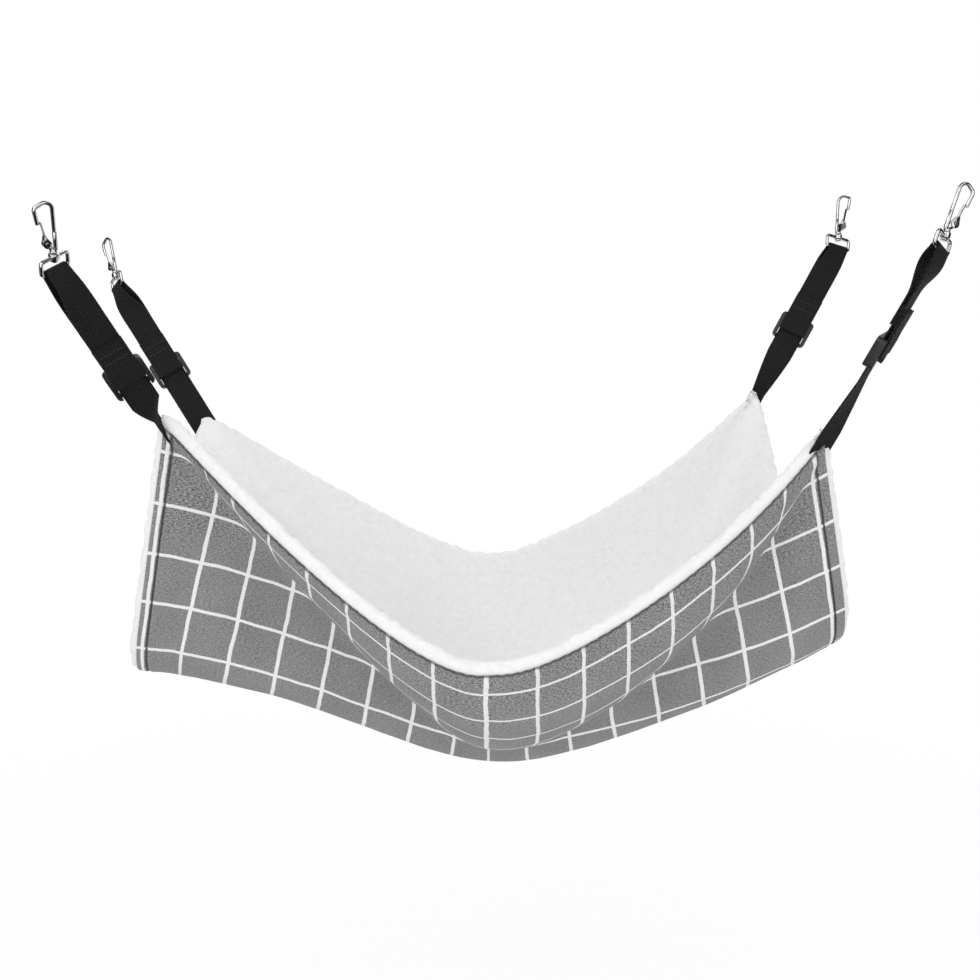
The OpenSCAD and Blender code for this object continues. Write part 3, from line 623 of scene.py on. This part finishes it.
def makeLining(finish):
    halfL = slingShape["padLength"] / 2 + slingShape["roll"]
    halfW = slingShape["padWidth"] / 2 + slingShape["roll"]
    along = rimStations(halfL)
    across = rimStations(halfW)
    points = drape(along, across)
    inward = inwardOf(points)
    made, i, j = newGrid("fleece_lining", len(along), len(across))
    middle = fleece["gap"] + fleece["thick"] / 2
    setPlaces(made, ((points + inward * middle) * mm)[i, j])
    edge = np.minimum(halfL - np.abs(along[i]), halfW - np.abs(across[j]))
    swell = np.sqrt(1 - (1 - np.clip(edge / fleece["rimRound"], 0, 1)) ** 2)
    group = made.vertex_groups.new(name="swell")
    for n, share in enumerate(swell):
        group.add([n], share, "REPLACE")
    applyModifier(made, "SOLIDIFY", thickness=fleece["thick"] * mm, offset=0, vertex_group="swell",
        thickness_vertex_group=fleece["thinShare"])
    made.vertex_groups.clear()
    places = getPlaces(made)
    normals = np.array([v.vector for v in made.data.vertex_normals])
    tree = treeOf(points)
    lift = np.zeros(len(places))
    for n, p in enumerate(places):
        a, b = divmod(tree.find(Vector(p))[1], len(across))
        height = (p / mm - points[a, b]) @ inward[a, b]
        lift[n] = pileLift(p, height, min(halfL - abs(along[a]), halfW - abs(across[b])))
    setPlaces(made, places + normals * lift[:, None] * mm)
    dress(made, finish, fleece["smoothAngle"])
    settle(made, "pad", "sherpa_lining")
    return made


# Webbing: ribbons that follow the strap, the hairpin and the sewn end

webbing = {"width": 20.0, "thick": 1.0, "ribPitch": 1.4, "yarnPitch": 1.6, "ribDeep": 0.09, "rowStep": 0.35,
    "columns": 15, "rungs": 120, "mapStart": (40, 20), "smoothAngle": 50, "cut": 212, "seamEnd": -9.0,
    "swingAt": 9, "foldFrom": 2, "foldTo": 17, "hinge": 9.6, "slideDown": 10, "slideGap": 1, "tuck": 33.5}
hairpin = {"legStart": 19.5, "legStraight": 39.5, "legOffset": 1.3, "legSteps": 40, "bightRadius": 2.05,
    "bightSteps": 25, "gather": 2.0, "bulgeLean": 1.3, "bulgePeak": 1.5}
corners = {
    "front_left": {"run": 45, "seamTurn": 62, "seamShare": 0.5, "eyeTurn": 41, "eyeRock": -16,
        "bulge": (1.2, 1.0)},
    "front_right": {"run": 73, "seamTurn": -22, "seamShare": 1, "eyeTurn": -18, "eyeRock": -20,
        "bulge": (1.6, 2.0)},
    "back_left": {"run": 55, "seamTurn": 0, "seamShare": 1, "eyeTurn": -63, "eyeRock": -1,
        "bulge": (2.2, 2.2)},
    "back_right": {"run": 66, "seamTurn": 42, "seamShare": 0.7, "eyeTurn": 41, "eyeRock": 15,
        "bulge": (1.2, 1.2)}}


def strapFrame(name):
    # the strap's own frame: z along it from the pad's corner, x across the webbing at the slider
    swing = joints[name + "_strap_swing"]
    z = Vector(joints[name + "_slider_slide"]["axis"])
    x = Matrix.Rotation(-math.radians(corners[name]["seamTurn"]), 3, z) @ Vector(swing["axis"])
    origin = Vector(swing["pos_m"]) - z * webbing["swingAt"] * mm
    return frameFrom(origin, x, z)


def frameFrom(origin, x, z):
    y = z.cross(x)
    made = Matrix((x, y, z)).transposed().to_4x4()
    made.translation = origin
    return made


def eyeFrame(name):
    tilt = joints[name + "_ring_tilt"]
    z = Vector(joints[name + "_hook_swivel"]["axis"])
    return frameFrom(Vector(tilt["pos_m"]), Vector(tilt["axis"]), z)


def hookFrame(name):
    swivel = joints[name + "_hook_swivel"]
    z = Vector(swivel["axis"])
    y = Vector(joints[name + "_gate_open"]["axis"])
    return frameFrom(Vector(swivel["pos_m"]), y.cross(z), z)


def makeRibbon(name, rungs, place, finish):
    # rungs: centre, direction across, width, in the millimetres of the strap's frame
    centre = np.array([r[0] for r in rungs], float)
    side = np.array([r[1] for r in rungs], float)
    width = np.array([r[2] for r in rungs], float)
    steps = np.linalg.norm(np.diff(centre, axis=0), axis=1)
    length = np.concatenate([[0], np.cumsum(steps)])
    rows = int(length[-1] / webbing["rowStep"])
    at = np.linspace(0, length[-1], rows)
    centre = np.stack([np.interp(at, length, centre[:, k]) for k in range(3)], 1)
    side = np.stack([np.interp(at, length, side[:, k]) for k in range(3)], 1)
    side /= np.linalg.norm(side, axis=1)[:, None]
    width = np.interp(at, length, width)
    ahead = np.gradient(centre, axis=0)
    ahead /= np.linalg.norm(ahead, axis=1)[:, None]
    side -= ahead * (side * ahead).sum(1)[:, None]
    side /= np.linalg.norm(side, axis=1)[:, None]
    face = np.cross(ahead, side)
    over = np.linspace(-0.5, 0.5, webbing["columns"])
    ribs = webbing["ribDeep"] * np.sin(2 * np.pi * at / webbing["ribPitch"])
    made, i, j = newGrid(name, rows, webbing["columns"])
    local = centre[i] + side[i] * (width[i] * over[j])[:, None] + face[i] * ribs[i][:, None]
    turn = np.array(place.to_3x3())
    setPlaces(made, local @ turn.T * mm + np.array(place.translation))
    startAcross, startAlong = webbing["mapStart"]
    setMap(made, "webbing", np.stack([over[j] * webbing["width"] + startAcross, at[i] + startAlong], 1))
    applyModifier(made, "SOLIDIFY", thickness=webbing["thick"] * mm, offset=0)
    dress(made, finish, webbing["smoothAngle"])
    return made


def acrossAt(turn):
    return np.array([math.cos(math.radians(turn)), math.sin(math.radians(turn)), 0])


def makeLowerStrap(name, finish):
    c = corners[name]
    twistEnd = c["run"] - sewnEnd["sliderHalf"] - webbing["slideDown"] - webbing["slideGap"]
    rungs = []
    for z in np.linspace(webbing["seamEnd"], c["run"] + webbing["tuck"], webbing["rungs"]):
        k = float(np.clip((z - webbing["hinge"]) / (twistEnd - webbing["hinge"]), 0, 1))
        share = c["seamShare"] + (1 - c["seamShare"]) * k
        rungs.append(((0, 0, z), acrossAt(c["seamTurn"] * (1 - k)), webbing["width"] * share))
    place = strapFrame(name)
    made = makeRibbon(name + "_webbing", rungs, place, finish)
    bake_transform(made)
    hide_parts(name + "_strap", name + "_strap_tail")


def makeHairpin(name, finish):
    c = corners[name]
    h = hairpin
    low = c["run"] + h["legStart"]
    flatTo = c["run"] + h["legStraight"]
    top = (webbing["cut"] + c["run"]) / 2
    gap = h["bightRadius"]
    start = h["legOffset"]

    def wideAt(v):
        turn = math.radians(c["eyeTurn"] * float(ease(v)))
        rock = math.radians(c["eyeRock"] * float(ease(v)))
        return np.array([math.cos(turn) * math.cos(rock), math.sin(turn) * math.cos(rock), -math.sin(rock)])

    def faceAt(v):
        return acrossAt(c["eyeTurn"] * float(ease(v)) + 90)

    def leg(v, side, bulge):
        off = start + (gap - start) * float(ease(v))
        off += bulge * math.sin(math.pi * v ** h["bulgeLean"]) ** h["bulgePeak"]
        wide = webbing["width"] - h["gather"] * float(ease(v))
        return np.array([0, 0, flatTo + (top - flatTo) * v]) + side * off * faceAt(v), wideAt(v), wide

    front = [(np.array([0, start, low]), acrossAt(0), webbing["width"])]
    front += [leg(v, 1, c["bulge"][0]) for v in np.linspace(0, 1, h["legSteps"])[:-1]]
    rise = np.cross(wideAt(1), faceAt(1))
    bight = []
    for a in np.linspace(0, math.pi, h["bightSteps"]):
        bight.append((np.array([0, 0, top]) + gap * (math.cos(a) * faceAt(1) + math.sin(a) * rise),
            wideAt(1), webbing["width"] - h["gather"]))
    rear = [leg(v, -1, c["bulge"][1]) for v in np.linspace(1, 0, h["legSteps"])[1:]]
    rear += [(np.array([0, -start, low]), acrossAt(0), webbing["width"])]
    made = makeRibbon(name + "_hairpin", front + bight + rear, strapFrame(name), finish)
    settle(made, name + "_loop", name + "_strap_loop")


# Sewn end of the webbing, folded round the slider's centre bar

sewnEnd = {"top": 28.5, "sliderHalf": 10.5, "endBar": 3.0, "backY": 2.6, "frontY": 3.65, "barY": 2.65,
    "wrap": 1.35, "wrapSteps": 13, "fold": -1.2, "barTop": 2.0, "knee": 7.5, "width": 20.7, "stitchRows": 2,
    "stitchColumns": 6, "stitchLong": 2.2, "stitchThick": 0.7}


def makeSewnEnd(name, finish, thread):
    e = sewnEnd
    run = corners[name]["run"]
    line = [(e["backY"], e["top"]), (e["backY"], e["sliderHalf"]), (e["barY"] - e["wrap"], e["barTop"])]
    for a in np.linspace(math.pi, 2 * math.pi, e["wrapSteps"]):
        line.append((e["barY"] + e["wrap"] * math.cos(a), e["fold"] + e["wrap"] * math.sin(a)))
    line += [(e["barY"] + e["wrap"], e["knee"]), (e["frontY"], e["sliderHalf"] + e["endBar"]),
        (e["frontY"], e["top"])]
    rungs = [((0, y, run + z), acrossAt(0), e["width"]) for y, z in line]
    place = strapFrame(name)
    made = makeRibbon(name + "_sewn_end", rungs, place, finish)
    settle(made, name + "_slider", name + "_strap_end")
    turn = place.to_3x3()
    spots = []
    pitch = webbing["width"] / (e["stitchColumns"] + 1)
    rowStep = (e["top"] - e["sliderHalf"]) / (e["stitchRows"] + 1)
    for r in range(1, e["stitchRows"] + 1):
        for k in range(1, e["stitchColumns"] + 1):
            x = -webbing["width"] / 2 + k * pitch
            at = Vector((x, e["frontY"] + webbing["thick"] / 2, run + e["top"] - r * rowStep)) * mm
            spots.append((place @ at, turn @ Vector((1, 0, 0)), turn @ Vector((0, 1, 0))))
    stitches = makeStitches(name + "_sewn_stitches", spots, e["stitchLong"], e["stitchThick"], thread)
    settle(stitches, name + "_slider", name + "_end_stitch")


# one stitch: its shares are of its length and thickness
stitch = {"sides": 6, "cutShares": (-0.3, 0.0, 0.3), "taper": 1.9, "tipShare": 0.06, "archShare": 0.3,
    "archFrom": 0.6, "smoothAngle": 180}


def makeStitches(name, spots, long, thick, finish):
    # short arched threads; spots give the middle, the run and the outward side of each
    deselectAll()
    bpy.ops.mesh.primitive_cylinder_add(vertices=stitch["sides"], radius=0.5, depth=1, end_fill_type="TRIFAN")
    one = bpy.context.object
    bpy.ops.object.mode_set(mode="EDIT")
    for cut in stitch["cutShares"]:
        bpy.ops.mesh.select_all(action="SELECT")
        bpy.ops.mesh.bisect(plane_co=(0, 0, cut), plane_no=(0, 0, 1))
    bpy.ops.object.mode_set(mode="OBJECT")
    shape = getPlaces(one)
    taper = np.sqrt(np.clip(1 - (stitch["taper"] * shape[:, 2]) ** 2, stitch["tipShare"], 1))
    arch = stitch["archShare"] * thick * (taper - stitch["archFrom"])
    shape = np.stack([shape[:, 0] * taper * thick + arch, shape[:, 1] * taper * thick,
        shape[:, 2] * long], 1) * mm
    faces = [list(f.vertices) for f in one.data.polygons]
    bpy.data.objects.remove(one)
    allPlaces, allFaces = [], []
    for at, run, out in spots:
        run = run.normalized()
        out = (out - run * out.dot(run)).normalized()
        turn = np.array(Matrix((out, run.cross(out), run)).transposed())
        base = len(allPlaces) * len(shape)
        allPlaces.append(shape @ turn.T + np.array(at))
        allFaces += [[base + v for v in f] for f in faces]
    mesh = bpy.data.meshes.new(name)
    mesh.from_pydata(np.concatenate(allPlaces).tolist(), [], allFaces)
    made = bpy.data.objects.new(name, mesh)
    bpy.context.scene.collection.objects.link(made)
    dress(made, finish, stitch["smoothAngle"])
    return made


# Topstitch along the short edges, in the groove of the cover

topstitch = {"pitch": 3.8, "long": 3.3, "thick": 0.9, "endGap": 3.0, "lie": 0.35, "sample": 1}


def makeTopstitch(finish):
    halfW = slingShape["padWidth"] / 2
    seam = slingShape["padLength"] / 2 - cover["stitchInset"]
    across = np.arange(-halfW + topstitch["endGap"], halfW - topstitch["endGap"], topstitch["pitch"])
    spots = []
    for end in (-1, 1):
        points = drape(end * seam + topstitch["sample"] * np.array([-1, 0, 1]), across)
        inward = inwardOf(points)[1]
        runs = np.gradient(points[1], axis=0)
        for p, n, r in zip(points[1], inward, runs):
            spots.append((Vector(p - n * topstitch["lie"]) * mm, Vector(r), Vector(-n)))
    made = makeStitches("short_edge_topstitch", spots, topstitch["long"], topstitch["thick"], finish)
    settle(made, "pad", "edge_topstitch")


# Hardware: wire bent by extruding and spinning a round section

wire = {"bendStep": 9, "leastBendSteps": 4, "merge": 0.001, "turnedSides": 24, "smoothAngle": 40}


def newWire(name, start, heading, radius, legs, sides):
    # legs: ("run", length) or ("bend", radius, angle), drawn in the x and z plane
    deselectAll()
    bpy.ops.mesh.primitive_circle_add(vertices=sides, radius=radius, fill_type="NGON",
        location=(start[0], 0, start[1]), rotation=(0, math.radians(90 - heading), 0))
    made = bpy.context.object
    made.name = name
    bpy.ops.object.transform_apply(location=True, rotation=True, scale=True)
    bpy.ops.object.mode_set(mode="EDIT")
    bpy.ops.mesh.select_all(action="SELECT")
    at = Vector((start[0], 0, start[1]))
    angle = math.radians(heading)
    for leg in legs:
        if leg[0] == "run":
            step = Vector((math.cos(angle), 0, math.sin(angle))) * leg[1]
            bpy.ops.mesh.extrude_region_move(TRANSFORM_OT_translate={"value": step})
            at = at + step
        else:
            sweep = math.radians(leg[2])
            side = math.copysign(1, sweep)
            centre = at + Vector((-math.sin(angle), 0, math.cos(angle))) * leg[1] * side
            steps = max(wire["leastBendSteps"], int(abs(leg[2]) / wire["bendStep"]))
            bpy.ops.mesh.spin(steps=steps, angle=sweep, center=centre, axis=(0, 1, 0))
            at = centre + Matrix.Rotation(-sweep, 3, "Y") @ (at - centre)
            angle += sweep
    bpy.ops.mesh.select_all(action="SELECT")
    bpy.ops.mesh.remove_doubles(threshold=wire["merge"])
    bpy.ops.mesh.normals_make_consistent(inside=False)
    bpy.ops.object.mode_set(mode="OBJECT")
    return made


def newTurned(name, rows):
    # a turned piece about z: rows of radius and height, from below
    deselectAll()
    bpy.ops.mesh.primitive_circle_add(vertices=wire["turnedSides"], radius=rows[0][0], fill_type="NGON",
        location=(0, 0, rows[0][1]))
    made = bpy.context.object
    made.name = name
    bpy.ops.object.transform_apply(location=True, rotation=True, scale=True)
    bpy.ops.object.mode_set(mode="EDIT")
    bpy.ops.mesh.select_all(action="SELECT")
    for (r0, z0), (r1, z1) in zip(rows, rows[1:]):
        bpy.ops.mesh.extrude_region_move(TRANSFORM_OT_translate={"value": (0, 0, z1 - z0)})
        bpy.ops.transform.resize(value=(r1 / r0, r1 / r0, 1), center_override=(0, 0, z1))
    bpy.ops.mesh.select_all(action="SELECT")
    bpy.ops.mesh.normals_make_consistent(inside=False)
    bpy.ops.object.mode_set(mode="OBJECT")
    return made


def joinInto(first, others):
    makeActive(first)
    for other in others:
        other.select_set(True)
    bpy.ops.object.join()


def putAt(obj, place):
    # from millimetres in a piece's own frame to metres in the part's frame
    obj.data.transform(place @ Matrix.Scale(mm, 4))
    obj.data.update()


# foot and head: rows of a share of the radius and a distance from that end
eye = {"wire": 1.25, "sides": 12, "half": 11.65, "rise": 8.5, "bend": 2.0, "collarLow": 7.0,
    "collarHigh": 11.0, "collarRadius": 3.2, "collarFoot": ((0.8, 0), (0.95, 0.3), (1, 0.9)),
    "collarHead": ((1, 0.9), (0.95, 0.3), (0.82, 0))}


def makeEye(name, finish):
    straight = 2 * (eye["half"] - eye["bend"])
    upright = eye["rise"] - 2 * eye["bend"]
    bend = ("bend", eye["bend"], 90)
    legs = [("run", straight / 2), bend, ("run", upright), bend, ("run", straight), bend,
        ("run", upright), bend, ("run", straight / 2)]
    made = newWire(name + "_eye", (0, 0), 0, eye["wire"], legs, eye["sides"])
    r = eye["collarRadius"]
    foot = [(r * share, eye["collarLow"] + up) for share, up in eye["collarFoot"]]
    head = [(r * share, eye["collarHigh"] - down) for share, down in eye["collarHead"]]
    collar = newTurned("collar", foot + head)
    joinInto(made, [collar])
    putAt(made, eyeFrame(name))
    dress(made, finish, wire["smoothAngle"])
    settle(made, name + "_ring", name + "_ring")


# headRows and baseRows: a share of the head's radius and a height; tipRows: a radius and a height
hook = {"wire": 1.2, "sides": 14, "spine": 1.5, "spineLow": 1.6, "crownHigh": 26.5, "crownRadius": 4.3,
    "crownSweep": 118, "shoulderRun": 3.0, "shoulderRadius": 2.6, "noseAngle": 188.4, "noseRun": 8.0,
    "endRound": 0.25, "thickTop": 13.0, "thickWire": 1.32, "thickDrop": 0.2, "thickRound": 0.3,
    "stemLow": -5.8, "headRadius": 2.3, "stemRadius": 1.3,
    "headRows": ((0.8, 0), (1, 0.4), (1, 1.0), (0.9, 1.2)),
    "baseRows": ((0.9, 0.0), (1, 0.3), (1, 0.9), (0.85, 1.3)), "tipRows": ((1.5, 2.6), (0.9, 2.9)),
    "edgeAngle": 60}
lug = {"pivotX": -3.4, "pivotZ": 6.0, "sides": 28, "radius": 2.0, "thick": 1.6, "footDown": 3.0,
    "footIn": 3.0, "edgeRound": 0.2}


def makeStem():
    h = hook
    head = [(h["headRadius"] * share, h["stemLow"] + up) for share, up in h["headRows"]]
    shank = [(h["stemRadius"], head[-1][1]), (h["stemRadius"], 0.0)]
    base = [(h["headRadius"] * share, up) for share, up in h["baseRows"]]
    return newTurned("stem", head + shank + base + list(h["tipRows"]))


def makeLug():
    # flat ear under the gate: a disc drawn down to the foot of the hook
    deselectAll()
    bpy.ops.mesh.primitive_cylinder_add(vertices=lug["sides"], radius=lug["radius"], depth=lug["thick"],
        location=(lug["pivotX"], 0, lug["pivotZ"]), rotation=(math.radians(90), 0, 0))
    made = bpy.context.object
    bpy.ops.object.transform_apply(location=True, rotation=True, scale=True)
    places = getPlaces(made)
    below = np.clip((lug["pivotZ"] - places[:, 2]) / lug["radius"], 0, 1)
    places[:, 2] -= lug["footDown"] * below
    places[:, 0] += lug["footIn"] * below
    setPlaces(made, places)
    bevelEdges(made, lug["edgeRound"], hook["edgeAngle"])
    return made


def makeHook(name, finish):
    h = hook
    legs = [("run", h["crownHigh"] - h["spineLow"]), ("bend", h["crownRadius"], h["crownSweep"]),
        ("run", h["shoulderRun"]), ("bend", h["shoulderRadius"], h["noseAngle"] - h["crownSweep"]),
        ("run", h["noseRun"])]
    made = newWire(name + "_snap_hook", (h["spine"], h["spineLow"]), 90, h["wire"], legs, h["sides"])
    bevelEdges(made, h["endRound"], h["edgeAngle"])
    sleeve = newWire("sleeve", (h["spine"], h["spineLow"] - h["thickDrop"]), 90, h["thickWire"],
        [("run", h["thickTop"] - h["spineLow"])], h["sides"])
    bevelEdges(sleeve, h["thickRound"], h["edgeAngle"])
    joinInto(made, [sleeve, makeStem(), makeLug()])
    putAt(made, hookFrame(name))
    dress(made, finish, wire["smoothAngle"])
    settle(made, name + "_hook", name + "_hook")


# Pieces whose solid has the right shape: a copy with its edges rounded

rounding = {"merge": 0.005, "flatAngle": 1, "edgeAngle": 40, "slider": (0.55, 3), "gate": (0.15, 2)}


def roundedCopy(node, name, body, slot, finish, width, segments):
    solid = frame["nodes"][node]
    made = bpy.data.objects.new(name, solid.data.copy())
    bpy.context.scene.collection.objects.link(made)
    makeActive(made)
    bpy.ops.object.mode_set(mode="EDIT")
    bpy.ops.mesh.select_all(action="SELECT")
    bpy.ops.mesh.remove_doubles(threshold=rounding["merge"] * mm)
    bpy.ops.mesh.dissolve_limited(angle_limit=math.radians(rounding["flatAngle"]))
    bpy.ops.object.mode_set(mode="OBJECT")
    bevelEdges(made, width * mm, rounding["edgeAngle"], segments)
    dress(made, finish, rounding["edgeAngle"])
    settle(made, body, node)


# Everything, piece by piece

cloth = clothFinish()
sherpa = fleeceFinish()
nylon = webbingFinish()
thread = threadFinish()
plastic = plasticFinish()
plated = platedFinish()
spring = springFinish()

coverCloth = makeCover(cloth)
print("cover:", len(coverCloth.data.polygons), "faces")
lining = makeLining(sherpa)
print("lining:", len(lining.data.polygons), "faces")
makeTopstitch(thread)

for corner in corners:
    makeLowerStrap(corner, nylon)
    makeHairpin(corner, nylon)
    makeSewnEnd(corner, nylon, thread)
    roundedCopy(corner + "_slider", corner + "_tri_glide", corner + "_slider", "slider_plastic", plastic,
        *rounding["slider"])
    makeEye(corner, plated)
    makeHook(corner, plated)
    roundedCopy(corner + "_gate", corner + "_gate_strip", corner + "_gate", "plated_steel", plated,
        *rounding["gate"])
    for part, finish in (("gate_pin", plated), ("gate_spring", spring), ("bartack", thread)):
        solid = frame["nodes"][corner + "_" + part]
        solid.data.materials.clear()
        solid.data.materials.append(finish)
    print("corner made:", corner)


# Stage: white floor that keeps a soft shadow, soft lamps

stage = {"floor": -0.62, "floorSize": 30, "floorTone": 0.9, "whiteShare": 0.93, "fadeBand": (0.3, 1.2),
    "ambient": 0.6, "lampAim": (0, 0, -0.1), "flagTone": 0.015}
# lamps: place, size and power
lamps = {"key": ((-0.9, -1.4, 1.1), 1.2, 9), "fill": ((1.3, -1.1, 0.5), 1.2, 4.5),
    "top": ((0.1, 0.5, 1.8), 1.5, 7), "bounce": ((-0.2, -1.2, -0.5), 1.4, 5)}
# dark flags that only the metal mirrors: place, turn, width and height
flags = {"left": ((-1.5, -0.1, 0.1), (0, 90, 0), 2.4, 2.2), "right": ((1.5, -0.1, 0.1), (0, 90, 0), 2.4, 2.2),
    "above": ((0, -0.3, 1.5), (0, 0, 0), 2.2, 1.4), "below": ((0, -0.4, -0.6), (0, 0, 0), 2.4, 1.0)}


def seenDirectly(v):
    path = v.node("ShaderNodeLightPath", {}, {})
    names = ("Is Camera Ray", "Is Glossy Ray", "Is Transmission Ray")
    seen, mirrored, through = [Value(v.tree, path.socket.node.outputs[n]) for n in names]
    return seen.most(mirrored).most(through)


def makeStage():
    deselectAll()
    bpy.ops.mesh.primitive_plane_add(size=stage["floorSize"], location=(0, 0, stage["floor"]))
    floor = bpy.context.object
    floor.name = "floor"
    made, shader, v = newFinish("pale_floor", Roughness=0.9, Base_Color=grey(stage["floorTone"]))
    glow = v.node("ShaderNodeEmission", {}, {"Color": grey(1.0), "Strength": 1.0})
    distance = v.node("ShaderNodeVectorMath", {"operation": "LENGTH"}, {0: objectPlace(v)}, 1)
    far = distance.over(*stage["fadeBand"])
    white = far * (1 - stage["whiteShare"]) + stage["whiteShare"]
    mixed = v.node("ShaderNodeMixShader", {}, {0: seenDirectly(v) * white,
        1: Value(v.tree, shader.outputs[0]), 2: glow})
    v.tree.links.new(mixed.socket, v.tree.nodes["Material Output"].inputs["Surface"])
    floor.data.materials.append(made)
    world = bpy.data.worlds.new("world")
    bpy.context.scene.world = world
    world.use_nodes = True
    v = Value(world.node_tree)
    back = world.node_tree.nodes["Background"]
    back.inputs["Color"].default_value = grey(1.0)
    feed(back, Strength=seenDirectly(v) * (1 - stage["ambient"]) + stage["ambient"])


def addFlag(name, place, turn, wide, high, finish):
    deselectAll()
    bpy.ops.mesh.primitive_plane_add(size=1, location=place, rotation=[math.radians(a) for a in turn])
    made = bpy.context.object
    made.name = name + "_flag"
    made.scale = (wide, high, 1)
    bpy.ops.object.transform_apply(location=True, rotation=True, scale=True)
    made.data.materials.append(finish)
    made.visible_camera = made.visible_diffuse = made.visible_shadow = made.visible_transmission = False


def addLamp(name, place, size, power):
    lamp = bpy.data.lights.new(name, "AREA")
    lamp.size = size
    lamp.energy = power
    made = bpy.data.objects.new(name, lamp)
    bpy.context.scene.collection.objects.link(made)
    made.location = place
    towards = Vector(stage["lampAim"]) - Vector(place)
    made.rotation_euler = towards.to_track_quat("-Z", "Y").to_euler()


makeStage()
blackCard = newFinish("black_card", Roughness=0.9, Base_Color=grey(stage["flagTone"]),
    Specular_IOR_Level=0.1)[0]
for name, (place, turn, wide, high) in flags.items():
    addFlag(name, place, turn, wide, high, blackCard)
for name, (place, size, power) in lamps.items():
    addLamp(name, place, size, power)
print("stage set")
